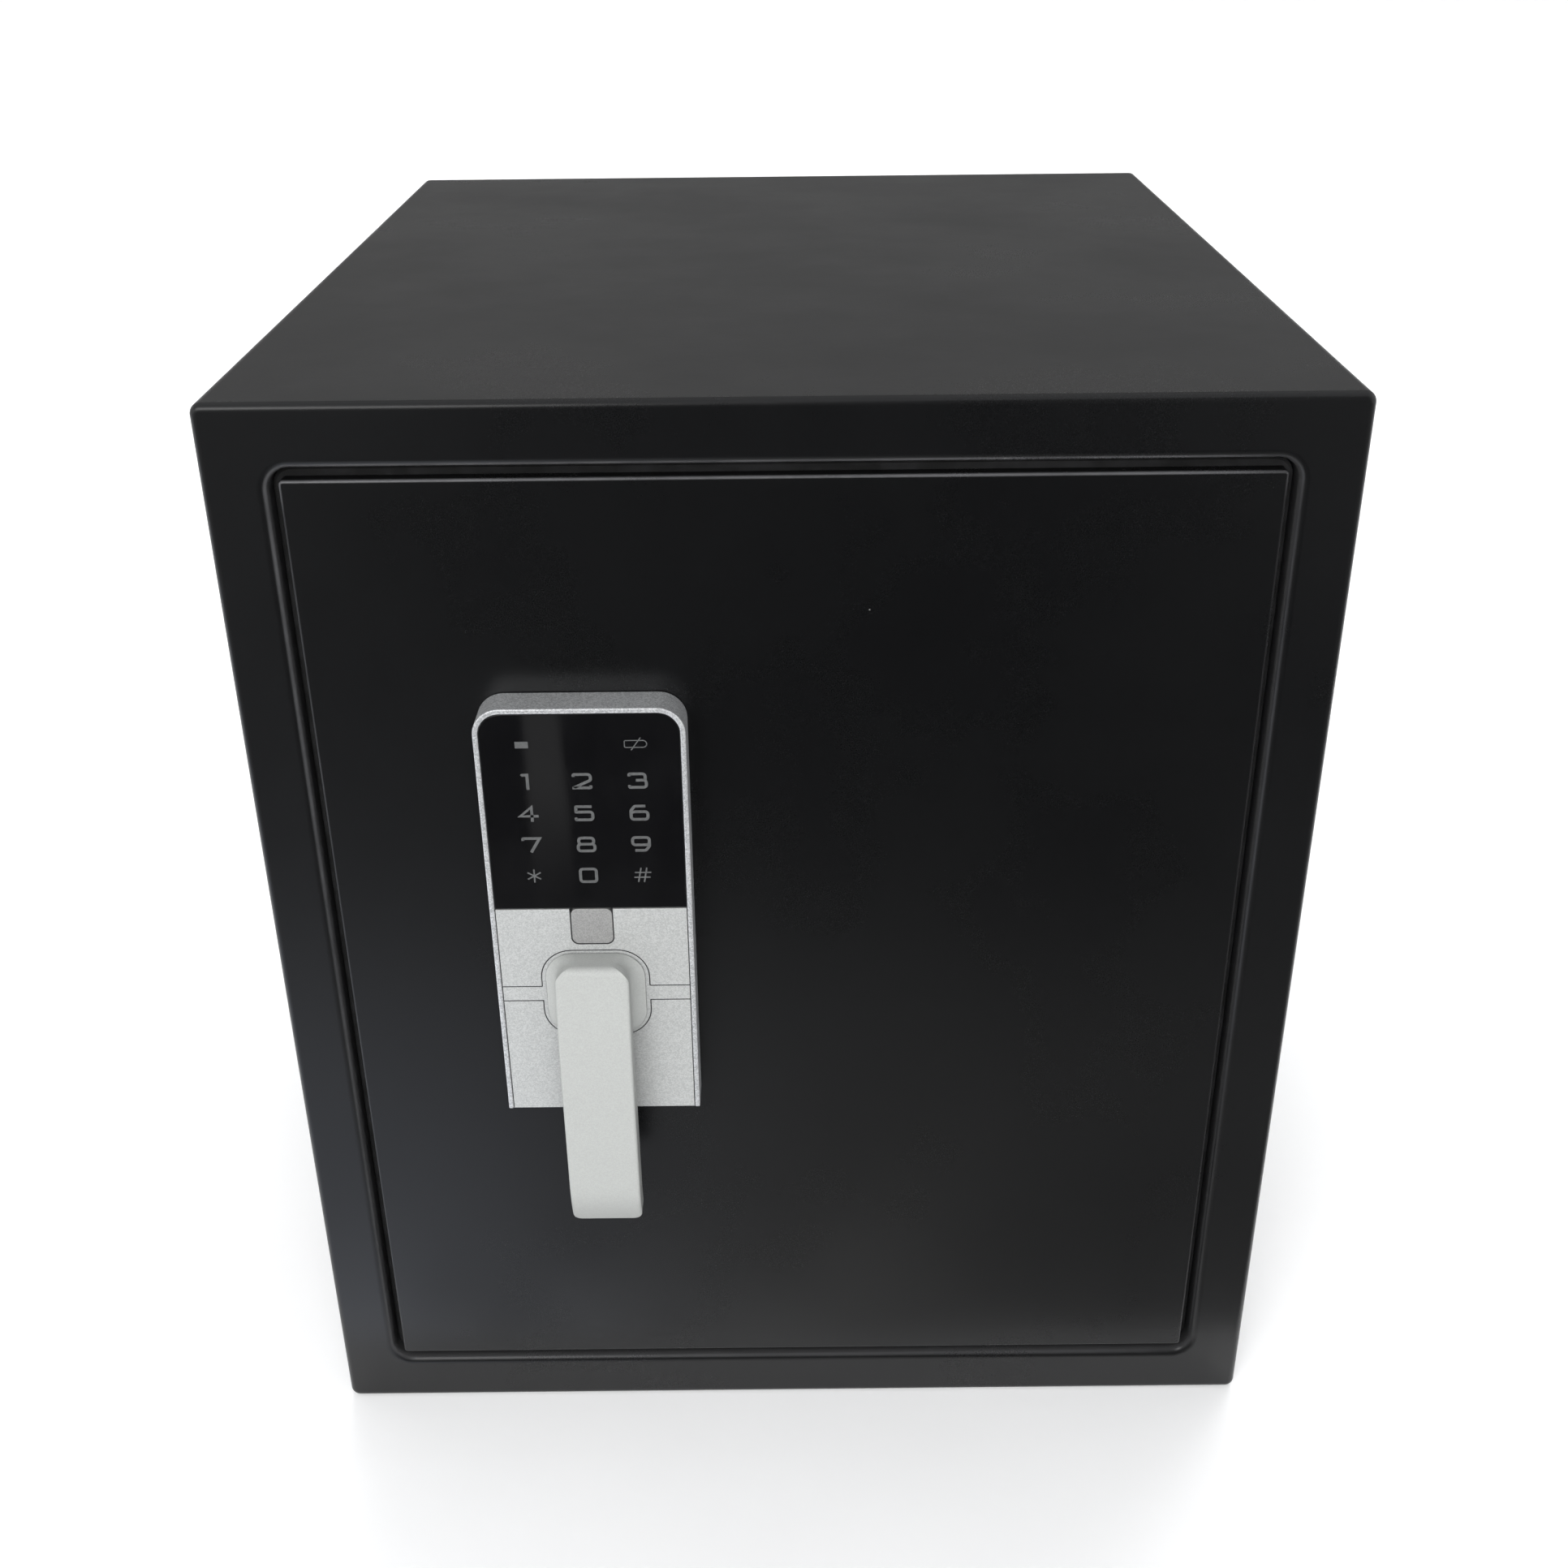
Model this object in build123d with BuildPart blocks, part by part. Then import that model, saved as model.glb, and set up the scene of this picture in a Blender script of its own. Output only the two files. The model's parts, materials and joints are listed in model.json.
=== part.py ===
"""Electronic box safe: welded steel cabinet, flush door on concealed pins, touch keypad and lever lock.

Frame: millimetres, +Z up, the door faces -Y, origin at the middle of the cabinet's underside.
A depth is measured behind the front face of the cabinet, so what stands proud of it has a negative one.
"""

import os
from math import pi, radians, sqrt, tan

from build123d import *

# ---------------------------------------------------------------- cabinet
BODY_W = 350.0
BODY_D = 400.0
BODY_H = 400.0
SHEET = 3.0  # thickness of the cabinet's steel
EDGE_R = 2.5  # outside rounding of the cabinet's front edge
REAR_EDGE_R = 1.2
CORNER_R = 3.5
FRAME_W = 20.0  # width of the front frame around the opening
OPENING_R = 7.0
RETURN_DEPTH = 20.0  # how far the frame's inner flange reaches back

REAR_ANCHORS = (200.0, 180.0)  # across, up
REAR_ANCHOR_Z = 210.0
BASE_ANCHORS = (220.0, 200.0)  # across, front to back
ANCHOR_R = 6.0

MAT_T = 3.0
MAT_MARGIN = 2.0
MAT_FRONT = 23.0
MAT_CORNER_R = 4.0

SHELF_Z = 205.0  # top of the shelf
SHELF_T = 1.5
SHELF_LIP = 12.0
SHELF_FRONT = 72.0
SHELF_CLEARANCE = 1.5
SHELF_CORNER_R = 2.5
SHELF_EDGE_R = 1.0
RAIL_LEG = 16.0
RAIL_T = 2.0
RAIL_END = 12.0  # the rails stop this far short of the cabinet's back
RAIL_GAP = 0.3
RAIL_SETBACK = 5.0  # the rails start this far behind the shelf's front

# ---------------------------------------------------------------- hinge
HINGE_INSET = 24.0  # hinge axis from the plate's hinge edge
HINGE_DEPTH = 11.5
HINGE_PIN_R = 4.0
HINGE_CLEARANCE = 0.05
BRACKET = (28.0, 17.0, 5.0)  # across, front to back, thick
PIN_HEAD_R = 6.0
PIN_HEAD_T = 2.5
PIN_REACH = 22.0
BUSH_R = 5.5
BUSH_LENGTH = 22.0
WASHER_T = 1.5
HINGE_PLAY = 0.4

# ---------------------------------------------------------------- door
DOOR_GAP = 3.5
PLATE_T = 5.0
PLATE_EDGE_R = 0.9
PLATE_CORNER_R = 1.5
PAN_INSET = 6.0  # the pan's sides stand this far inside the plate's edges
PAN_SHEET = 2.0
PAN_DEPTH = 46.0
PAN_CORNER_R = 3.0
COVER_T = 1.5
COVER_EDGE_R = 0.6
COVER_SCREW_XS = (-120.0, 0.0, 120.0)
COVER_SCREW_R = 2.0
COVER_SCREW_REACH = 6.0
COVER_HEAD_R = 3.8
COVER_HEAD_T = 2.4
COVER_HEAD_EDGE_R = 1.4
CROSS_SLOT = (4.0, 0.8, 1.4)  # long, wide, deep
TAB = 12.0
BAR_REACH = 8.0  # how far the dead bar reaches behind the frame
BAR_DEPTHS = (21.5, 26.5)
BAR_HEIGHT = 280.0
BAR_CORNER_R = 3.0

# ---------------------------------------------------------------- bolt work
BOLT_R = 10.0
BOLT_DEPTH = 30.5
BOLT_LENGTH = 70.0
BOLT_PITCH = 120.0
BOLT_TRAVEL = 20.0
BOLT_PROUD = 3.0  # drawn-back bolts still stand this far out of the pan
BOLT_CHAMFER = 1.5
BOLT_FIT = 0.08  # running fit in the guide and the bushes
BUSH_WALL = 1.5
BUSH_FLANGE = (3.0, 1.2)  # wider than the bolt, thick
BUSH_REACH = 6.0
CARRIER_T = 3.0
CARRIER_BAR = 20.0
CARRIER_GRIP = 17.0  # how much of the carrier's bar sits in the bolts' slots
RIVET_R = 2.5
RIVET_INSET = 8.0
RIVET_SUNK = 0.5
CARRIER_END = 14.0  # the carrier reaches this far past the outer bolts
CARRIER_CORNER_R = 3.0
GUIDE_X = -120.0
GUIDE_T = 2.5
GUIDE_HEIGHT = 290.0
GUIDE_BACK = 43.0
GUIDE_FOOT = 16.0
CRANK_PIN_R = 3.0
YOKE_HALF = 3.75
ARM_REACH = 30.0  # how far the carrier's arm reaches past the spindle
ARM_LOW = 5.5  # lower and upper edges of the arm above the spindle
ARM_HIGH = 29.0

# ---------------------------------------------------------------- lock unit
LOCK_X = -65.0
HANDLE_Z = 200.0
LOCK_W = 67.0
LOCK_TOP = 306.3
LOCK_BOTTOM = 152.0
LOCK_FRONT = -13.0
LOCK_CORNER = 9.0
GASKET_T = 0.5
GASKET_INSET = 0.8
GASKET_BAND = 3.7
RIM = 1.7
RIM_PROUD = 0.3
FACIA_T = 2.0
SEAM = 0.35  # groove between the pieces of the facia
HOUSING_BACK_T = 2.0
POST_TOP = -8.5
POST_R = 4.0
HUB_R = 9.5
HOUSING_SIDE_T = 1.2  # the side walls behind the rim
LOCK_SCREWS = (46.0, 124.0)  # across, up
LOCK_SCREW_R = 2.0
LOCK_HEAD = (3.6, 2.6)  # radius, thick
LOCK_SCREW_REACH = 7.0
GLASS_BOTTOM = 233.6
CABLE_Z = 282.0
CABLE_HOLE_R = 5.0
CABLE_R = 1.5
KEYPAD_BOARD = (57.0, 62.0)
KEYPAD_BOARD_Z = 269.5
BOARD_T = 1.6
SOCKET = (9.0, 6.0, 4.0)
BOSS_W = 36.0
BOSS_H = 34.0
BOSS_CORNER = 10.5
ARM_HALF = 2.7
CAP_W = 13.7
CAP_H = 13.4
CAP_CORNER = 2.3
CYLINDER_R = 6.0
CYLINDER_FLANGE_R = 8.0
CYLINDER_BACK = 14.0
PLUG_R = 4.5
KEYWAY = (1.6, 6.6, 16.0)
NUT_T = 4.0
NUT_R = 9.2
PLUG_FIT = 0.05
PLUG_PROUD = 0.3  # behind the cylinder
CAM = (17.0, 9.0, 4.4)  # long, wide, corner radius
CAM_T = 2.5
CAM_SHIFT = 4.0

# ---------------------------------------------------------------- handle
LEVER_W = 24.6
LEVER_BACK = -20.0
LEVER_FRONT = -28.0
LEVER_HUB_FRONT = -24.2
LEVER_UP = 16.4
LEVER_DOWN = 88.6
LEVER_EDGE_R = 3.0  # rounding of the hub's upper front edge
LEVER_CURL = 18.0  # the lower end curves back over this length
LEVER_NOSE = (3.8, 9.9, 2.0)  # depths of the tip's front and rear edges, and how much higher the rear one is
LEVER_BEND = (0.25, 73.6, 63.6)  # the front runs in by this much between these heights above the tip
LEVER_CORNERS = (6.0, 3.4)  # upper and lower
LEVER_RIM_R = 1.0
SPINDLE_SOCKET = 8.0
NECK_BACK = -13.2
NECK_SECTIONS = ((-13.2, 33.5, 32.4, 9.6), (-15.6, 27.6, 31.4, 7.6), (-20.4, 23.8, 30.6, 6.0))
SPINDLE_R = 5.0
SPINDLE_SQUARE = 6.8
SPINDLE_HOLE_R = 7.0
SPINDLE_BUSH_FRONT = -10.5
CLIP_DEPTHS = (6.8, 8.0)
CLIP_GROOVE = 0.8
CLIP_WIDTH = 3.0
CLIP_MOUTH = 6.0
BUSH_RIM = (3.0, 1.5)  # wider than the bush, thick
SPINDLE_FIT = 0.05
CRANK_T = 4.0
CRANK_HUB_R = 9.0
CRANK_EYE_R = 5.5
CRANK_GAP = 0.5
CRANK_AIR = 1.5  # between the crank and the carrier, and from the carrier to the pin's end

# ---------------------------------------------------------------- blocking solenoid
BLOCKER_R = 3.0
BLOCKER_TRAVEL = 5.0
BLOCKER_SIDE_GAP = 0.3
BLOCKER_TIP_GAP = 0.5
COLLAR_RISE = 5.5  # collar above the pin's tip, so that it stays clear of the carrier's arm
COLLAR_R = 5.5
COLLAR_T = 1.5
SPRING_LENGTH = 10.0
SPRING_R = 4.4
SPRING_WIRE_R = 0.35
SOLENOID_W = 20.0
SOLENOID_H = 31.0
SOLENOID_DEPTHS = (22.0, 39.0)
SOLENOID_SHEET = 2.0
COIL_R = 7.2
COIL_FLANGE_R = 7.8
COIL_FLANGE_T = 1.5
PIN_INSIDE = 20.0  # how far the pin reaches into the solenoid
PIN_FIT = 0.1
SPRING_TURNS = 5

# ---------------------------------------------------------------- electronics
BOARD = (45.0, 272.0)  # middle of the control board
BOARD_SIZE = (66.0, 62.0)
BOARD_DEPTH = 34.0
POSTS = (58.0, 54.0)
# across and up from the board's middle, wide, high, tall
CHIPS = ((-26, 10, 9, 7, 7.0), (10, 4, 10, 10, 1.6), (-6, -18, 12, 8, 3.0), (24, 20, 6, 6, 2.0))
BUZZER = (18.0, -16.0, 6.0, 8.0)  # across, up, radius, tall
POST_SIZE = 3.0  # corner radius of the hexagonal posts
BATTERY = (40.0, 130.0)
BATTERY_R = 7.1
BATTERY_L = 50.0
BATTERY_PITCH = 15.0
TRAY = (66.0, 58.0, 18.0)
TRAY_WALL = 1.5
TRAY_CORNER_R = 2.0
CELL_CAP = (2.6, 1.5)  # radius, long
LID_LAP = 4.0  # the lid laps the tray's edge by this much
LID_EDGE_R = 0.8
GRIP = (22.0, 7.0, 1.1)  # finger recess: long, wide, deep
GRIP_DROP = 8.0
BATTERY_COVER_T = 2.0
BATTERY_COVER_GAP = 0.3
RESET = (108.0, 332.0)
RESET_R = 4.0
RESET_GAP = 0.3
RESET_PROUD = 3.2
RESET_LENGTH = 9.0
RESET_EDGE_R = 0.8
BEZEL_WALL = 1.5
BEZEL_RIM = (3.5, 1.2)  # wider than the button, thick
BEZEL_LENGTH = 8.0

# ---------------------------------------------------------------- derived places
OPEN_W = BODY_W - 2 * FRAME_W
OPEN_H = BODY_H - 2 * FRAME_W
MID_Z = BODY_H / 2
DOOR_W = OPEN_W - 2 * DOOR_GAP
DOOR_H = OPEN_H - 2 * DOOR_GAP
PAN_W = DOOR_W - 2 * PAN_INSET
PAN_H = DOOR_H - 2 * PAN_INSET
HINGE_X = DOOR_W / 2 - HINGE_INSET
PAN_LEFT = -PAN_W / 2
COVER_BACK = PAN_DEPTH + COVER_T
BOLT_TIP = PAN_LEFT - BOLT_PROUD
BOLT_INNER = BOLT_TIP + BOLT_LENGTH
BOLT_ZS = [MID_Z - BOLT_PITCH, MID_Z, MID_Z + BOLT_PITCH]
CARRIER_DEPTHS = (BOLT_DEPTH - CARRIER_T / 2, BOLT_DEPTH + CARRIER_T / 2)
CARRIER_LEFT = BOLT_INNER - CARRIER_GRIP
CRANK_R = BOLT_TRAVEL / sqrt(2)  # a quarter turn across the vertical moves the pin sideways by the travel
CRANK_DEPTHS = (CARRIER_DEPTHS[0] - CRANK_AIR - CRANK_T, CARRIER_DEPTHS[0] - CRANK_AIR)
ARM_TOP = HANDLE_Z + ARM_HIGH
LOCK_MID_Z = (LOCK_TOP + LOCK_BOTTOM) / 2
LOCK_H = LOCK_TOP - LOCK_BOTTOM
INNER_W = LOCK_W - 2 * RIM
FACIA_DEPTH = LOCK_FRONT + RIM_PROUD
FACIA_BACK = FACIA_DEPTH + FACIA_T
KEYHOLE_Z = GLASS_BOTTOM - SEAM - CAP_H / 2
CYLINDER_FRONT = FACIA_BACK + 0.4
BLOCKER_TIP = ARM_TOP + BLOCKER_TIP_GAP
SPRING_LOW = BLOCKER_TIP + COLLAR_RISE + COLLAR_T
SOLENOID_LOW = SPRING_LOW + SPRING_LENGTH
SOLENOID_HIGH = SOLENOID_LOW + SOLENOID_H

os.makedirs("parts", exist_ok=True)


def at_depth(depth):
    """The XZ plane that far behind the front face. A positive extrude goes towards the front."""
    return Plane.XZ.offset(BODY_D / 2 - depth)


def depth_y(depth):
    """The Y coordinate at that depth behind the front face."""
    return depth - BODY_D / 2


def save(piece, label):
    """Labels a finished piece and writes it as its own STEP file."""
    piece.part.label = label
    export_step(piece.part, f"parts/{label}.step")


# ================================================================ cabinet
def front_frame():
    """Front face with a flange folded back all round the opening, bored for the hinge pins."""
    with BuildPart() as frame:
        with BuildSketch(at_depth(SHEET)):
            with Locations((0, MID_Z)):
                RectangleRounded(BODY_W, BODY_H, CORNER_R)
        extrude(amount=SHEET)
        with BuildSketch(at_depth(RETURN_DEPTH)):
            with Locations((0, MID_Z)):
                RectangleRounded(OPEN_W + 2 * SHEET, OPEN_H + 2 * SHEET, OPENING_R + SHEET)
        extrude(amount=RETURN_DEPTH)
        with BuildSketch(at_depth(RETURN_DEPTH)):
            with Locations((0, MID_Z)):
                RectangleRounded(OPEN_W, OPEN_H, OPENING_R)
        extrude(amount=RETURN_DEPTH, mode=Mode.SUBTRACT)
        front = frame.faces().filter_by(Axis.Y).sort_by(Axis.Y)[0]
        fillet(front.outer_wire().edges(), radius=EDGE_R)
        front = frame.faces().filter_by(Axis.Y).sort_by(Axis.Y)[0]
        fillet(front.inner_wires()[0].edges(), radius=SHEET)
        with BuildSketch(Plane.XY):
            with Locations((HINGE_X, depth_y(HINGE_DEPTH))):
                Circle(HINGE_PIN_R)
        extrude(amount=BODY_H, mode=Mode.SUBTRACT)
    save(frame, "front_frame")


def cabinet_wrap():
    """Rectangular tube that forms the top, the underside and both sides, with anchor holes below."""
    with BuildPart() as wrap:
        with BuildSketch(at_depth(BODY_D)):
            with Locations((0, MID_Z)):
                RectangleRounded(BODY_W, BODY_H, CORNER_R)
                RectangleRounded(BODY_W - 2 * SHEET, BODY_H - 2 * SHEET, CORNER_R - SHEET, mode=Mode.SUBTRACT)
        extrude(amount=BODY_D - SHEET)
        with BuildSketch(Plane.XY):
            with GridLocations(*BASE_ANCHORS, 2, 2):
                Circle(ANCHOR_R)
        extrude(amount=SHEET, mode=Mode.SUBTRACT)
        rear = wrap.faces().filter_by(Axis.Y).sort_by(Axis.Y)[-1]
        fillet(rear.outer_wire().edges(), radius=REAR_EDGE_R)
    save(wrap, "cabinet_wrap")


def back_panel():
    """Rear sheet, set inside the wrap and welded flush, with four anchor holes."""
    with BuildPart() as back:
        with BuildSketch(at_depth(BODY_D)):
            with Locations((0, MID_Z)):
                RectangleRounded(BODY_W - 2 * SHEET, BODY_H - 2 * SHEET, CORNER_R - SHEET)
            with Locations((0, REAR_ANCHOR_Z)):
                with GridLocations(*REAR_ANCHORS, 2, 2):
                    Circle(ANCHOR_R, mode=Mode.SUBTRACT)
        extrude(amount=SHEET)
    save(back, "back_panel")


def floor_mat():
    """Loose felt mat on the cabinet floor, punched over the base anchors."""
    front, back = depth_y(MAT_FRONT), depth_y(BODY_D - SHEET - MAT_MARGIN)
    with BuildPart() as mat:
        with BuildSketch(Plane.XY.offset(SHEET)):
            with Locations((0, (front + back) / 2)):
                RectangleRounded(BODY_W - 2 * SHEET - 2 * MAT_MARGIN, back - front, MAT_CORNER_R)
            with GridLocations(*BASE_ANCHORS, 2, 2):
                Circle(ANCHOR_R + 2, mode=Mode.SUBTRACT)
        extrude(amount=MAT_T)
    save(mat, "floor_mat")


def shelf_rails():
    """A steel angle on each side wall that the shelf rests on."""
    inside = BODY_W / 2 - SHEET
    top = SHELF_Z - SHELF_LIP - RAIL_GAP
    with BuildPart() as rails:
        with BuildSketch(at_depth(BODY_D - RAIL_END)):
            for side in (-1, 1):
                with Locations((side * (inside - RAIL_LEG / 2), top - RAIL_T / 2)):
                    Rectangle(RAIL_LEG, RAIL_T)
                with Locations((side * (inside - RAIL_T / 2), top - RAIL_LEG / 2)):
                    Rectangle(RAIL_T, RAIL_LEG)
        extrude(amount=BODY_D - RAIL_END - SHELF_FRONT - RAIL_SETBACK)
    save(rails, "shelf_rails")


def shelf():
    """Removable steel shelf: a sheet with its four edges folded down."""
    width = BODY_W - 2 * SHEET - 2 * SHELF_CLEARANCE
    front, back = depth_y(SHELF_FRONT), depth_y(BODY_D - SHEET - SHELF_CLEARANCE)
    middle = (front + back) / 2
    with BuildPart() as tray:
        with BuildSketch(Plane.XY.offset(SHELF_Z - SHELF_LIP)):
            with Locations((0, middle)):
                RectangleRounded(width, back - front, SHELF_CORNER_R)
        extrude(amount=SHELF_LIP)
        with BuildSketch(Plane.XY.offset(SHELF_Z - SHELF_LIP)):
            with Locations((0, middle)):
                RectangleRounded(width - 2 * SHELF_T, back - front - 2 * SHELF_T, SHELF_CORNER_R - SHELF_T)
        extrude(amount=SHELF_LIP - SHELF_T, mode=Mode.SUBTRACT)
        fillet(tray.faces().sort_by(Axis.Z)[-1].edges(), radius=SHELF_EDGE_R)
    save(tray, "shelf")


# ================================================================ hinge
def hinge_end(top):
    """One hinge end: its name, the direction into the door, and the frame face that it starts from."""
    if top:
        return "top", -1, BODY_H - FRAME_W
    return "bottom", 1, FRAME_W


def hinge_bracket(top):
    """Doubler plate welded to the outside of the frame's flange around the pin."""
    name, inward, flange = hinge_end(top)
    width, depth, thick = BRACKET
    with BuildPart() as bracket:
        with BuildSketch(Plane.XY.offset(flange - inward * SHEET)):
            with Locations((HINGE_X, depth_y(SHEET + depth / 2))):
                Rectangle(width, depth)
            with Locations((HINGE_X, depth_y(HINGE_DEPTH))):
                Circle(HINGE_PIN_R, mode=Mode.SUBTRACT)
        extrude(amount=-inward * thick)
    save(bracket, f"hinge_bracket_{name}")


def hinge_pin(top):
    """Headed pin, pressed through the bracket and the flange into the door's bush."""
    name, inward, flange = hinge_end(top)
    seat = SHEET + BRACKET[2]
    with BuildPart() as pin:
        with BuildSketch(Plane.XY.offset(flange - inward * seat)):
            with Locations((HINGE_X, depth_y(HINGE_DEPTH))):
                Circle(PIN_HEAD_R)
        extrude(amount=-inward * PIN_HEAD_T)
        with BuildSketch(Plane.XY.offset(flange - inward * seat)):
            with Locations((HINGE_X, depth_y(HINGE_DEPTH))):
                Circle(HINGE_PIN_R)
        extrude(amount=inward * (seat + PIN_REACH))
        tip = pin.faces().filter_by(Axis.Z).sort_by(Axis.Z)[0 if top else -1]
        chamfer(tip.edges(), length=0.8)
    save(pin, f"hinge_pin_{name}")


def hinge_washer(top):
    """Thrust washer on the pin, against the frame."""
    name, inward, flange = hinge_end(top)
    with BuildPart() as washer:
        with BuildSketch(Plane.XY.offset(flange)):
            with Locations((HINGE_X, depth_y(HINGE_DEPTH))):
                Circle(BUSH_R)
                Circle(HINGE_PIN_R, mode=Mode.SUBTRACT)
        extrude(amount=inward * WASHER_T)
    save(washer, f"hinge_washer_{name}")


def hinge_bush(top):
    """Steel bush welded through the pan's end wall; it turns on the pin."""
    name, inward, flange = hinge_end(top)
    start = WASHER_T + HINGE_PLAY
    with BuildPart() as bush:
        with BuildSketch(Plane.XY.offset(flange + inward * start)):
            with Locations((HINGE_X, depth_y(HINGE_DEPTH))):
                Circle(BUSH_R)
                Circle(HINGE_PIN_R + HINGE_CLEARANCE, mode=Mode.SUBTRACT)
        extrude(amount=inward * (BUSH_LENGTH - HINGE_PLAY))
    save(bush, f"hinge_bush_{name}")


# ================================================================ door structure
def lock_screw_places():
    """Where the four lock screws go, on the XZ plane."""
    across, up = LOCK_SCREWS[0] / 2, LOCK_SCREWS[1] / 2
    return [(LOCK_X + i * across, LOCK_MID_Z + j * up) for i in (-1, 1) for j in (-1, 1)]


def cover_screw_places():
    """Where the back cover's screws go, on the XZ plane."""
    up = PAN_H / 2 - PAN_SHEET - TAB / 2
    return [(x, MID_Z + side * up) for x in COVER_SCREW_XS for side in (-1, 1)]


def bolt_places():
    """Where the bolts' axes cross the YZ plane."""
    return [(depth_y(BOLT_DEPTH), z) for z in BOLT_ZS]


def door_plate():
    """Solid steel door plate, pierced behind the lock housing."""
    with BuildPart() as plate:
        with BuildSketch(at_depth(PLATE_T)):
            with Locations((0, MID_Z)):
                RectangleRounded(DOOR_W, DOOR_H, PLATE_CORNER_R)
            with Locations((LOCK_X, HANDLE_Z)):
                Circle(SPINDLE_HOLE_R, mode=Mode.SUBTRACT)
            with Locations((LOCK_X, KEYHOLE_Z)):
                Circle(CYLINDER_R, mode=Mode.SUBTRACT)
            with Locations((LOCK_X, CABLE_Z)):
                Circle(CABLE_HOLE_R, mode=Mode.SUBTRACT)
            with Locations(*lock_screw_places()):
                Circle(LOCK_SCREW_R, mode=Mode.SUBTRACT)
        extrude(amount=PLATE_T)
        front = plate.faces().filter_by(Axis.Y).sort_by(Axis.Y)[0]
        fillet(front.outer_wire().edges(), radius=PLATE_EDGE_R)
    save(plate, "door_plate")


def door_pan():
    """Folded tray welded behind the plate: four sides, bolt holes, and tabs for the cover screws."""
    with BuildPart() as pan:
        with BuildSketch(at_depth(PAN_DEPTH)):
            with Locations((0, MID_Z)):
                RectangleRounded(PAN_W, PAN_H, PAN_CORNER_R)
                inner_r = PAN_CORNER_R - PAN_SHEET
                RectangleRounded(PAN_W - 2 * PAN_SHEET, PAN_H - 2 * PAN_SHEET, inner_r, mode=Mode.SUBTRACT)
        extrude(amount=PAN_DEPTH - PLATE_T)
        with BuildSketch(at_depth(PAN_DEPTH)):
            with Locations(*cover_screw_places()):
                Rectangle(2 * TAB, TAB)
                Circle(COVER_SCREW_R, mode=Mode.SUBTRACT)
        extrude(amount=PAN_SHEET)
        with BuildSketch(Plane.YZ.offset(PAN_LEFT)):
            with Locations(*bolt_places()):
                Circle(BOLT_R + BUSH_WALL)
        extrude(amount=PAN_SHEET, mode=Mode.SUBTRACT)
        with BuildSketch(Plane.XY):
            with Locations((HINGE_X, depth_y(HINGE_DEPTH))):
                Circle(BUSH_R)
        extrude(amount=BODY_H, mode=Mode.SUBTRACT)
    save(pan, "door_pan")


def dead_bar():
    """Fixed bar on the hinge side that stays behind the frame when the door is shut."""
    left, right = PAN_W / 2, OPEN_W / 2 + BAR_REACH
    with BuildPart() as bar:
        with BuildSketch(at_depth(BAR_DEPTHS[1])):
            with Locations(((left + right) / 2, MID_Z)):
                Rectangle(right - left, BAR_HEIGHT)
        extrude(amount=BAR_DEPTHS[1] - BAR_DEPTHS[0])
        outer = bar.edges().filter_by(Axis.Y).sort_by(Axis.X)[-2:]
        fillet(outer, radius=BAR_CORNER_R)
    save(bar, "dead_bar")


def bolt_guide():
    """Angle welded to the plate; its web carries the inner ends of the bolts."""
    front, back = depth_y(PLATE_T), depth_y(GUIDE_BACK)
    with BuildPart() as guide:
        with BuildSketch(Plane.XY.offset(MID_Z - GUIDE_HEIGHT / 2)):
            with BuildLine():
                Polyline(
                    (GUIDE_X, front),
                    (GUIDE_X, back),
                    (GUIDE_X - GUIDE_T, back),
                    (GUIDE_X - GUIDE_T, front + GUIDE_T),
                    (GUIDE_X - GUIDE_FOOT, front + GUIDE_T),
                    (GUIDE_X - GUIDE_FOOT, front),
                    close=True,
                )
            make_face()
        extrude(amount=GUIDE_HEIGHT)
        with BuildSketch(Plane.YZ.offset(GUIDE_X - GUIDE_T)):
            with Locations(*bolt_places()):
                Circle(BOLT_R + BOLT_FIT)
        extrude(amount=GUIDE_T, mode=Mode.SUBTRACT)
    save(guide, "bolt_guide")


def bolt_bushes():
    """Flanged nylon sleeves snapped into the pan's bolt holes."""
    with BuildPart() as bushes:
        wide, thick = BUSH_FLANGE
        flange = (PAN_LEFT - thick, thick, BOLT_R + wide)
        for start, length, radius in (flange, (PAN_LEFT, BUSH_REACH, BOLT_R + BUSH_WALL)):
            with BuildSketch(Plane.YZ.offset(start)):
                with Locations(*bolt_places()):
                    Circle(radius)
                    Circle(BOLT_R + BOLT_FIT, mode=Mode.SUBTRACT)
            extrude(amount=length)
    save(bushes, "bolt_bushes")


def back_cover():
    """Sheet cover over the bolt work, with openings for the battery tray and the reset button."""
    with BuildPart() as cover:
        with BuildSketch(at_depth(COVER_BACK)):
            with Locations((0, MID_Z)):
                RectangleRounded(PAN_W, PAN_H, PAN_CORNER_R)
            with Locations(BATTERY):
                RectangleRounded(TRAY[0], TRAY[1], TRAY_CORNER_R, mode=Mode.SUBTRACT)
            with Locations(RESET):
                Circle(RESET_R + BEZEL_WALL, mode=Mode.SUBTRACT)
            with Locations(*cover_screw_places()):
                Circle(COVER_SCREW_R, mode=Mode.SUBTRACT)
        extrude(amount=COVER_T)
        fillet(cover.faces().sort_by(Axis.Y)[-1].outer_wire().edges(), radius=COVER_EDGE_R)
    save(cover, "back_cover")


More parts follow.
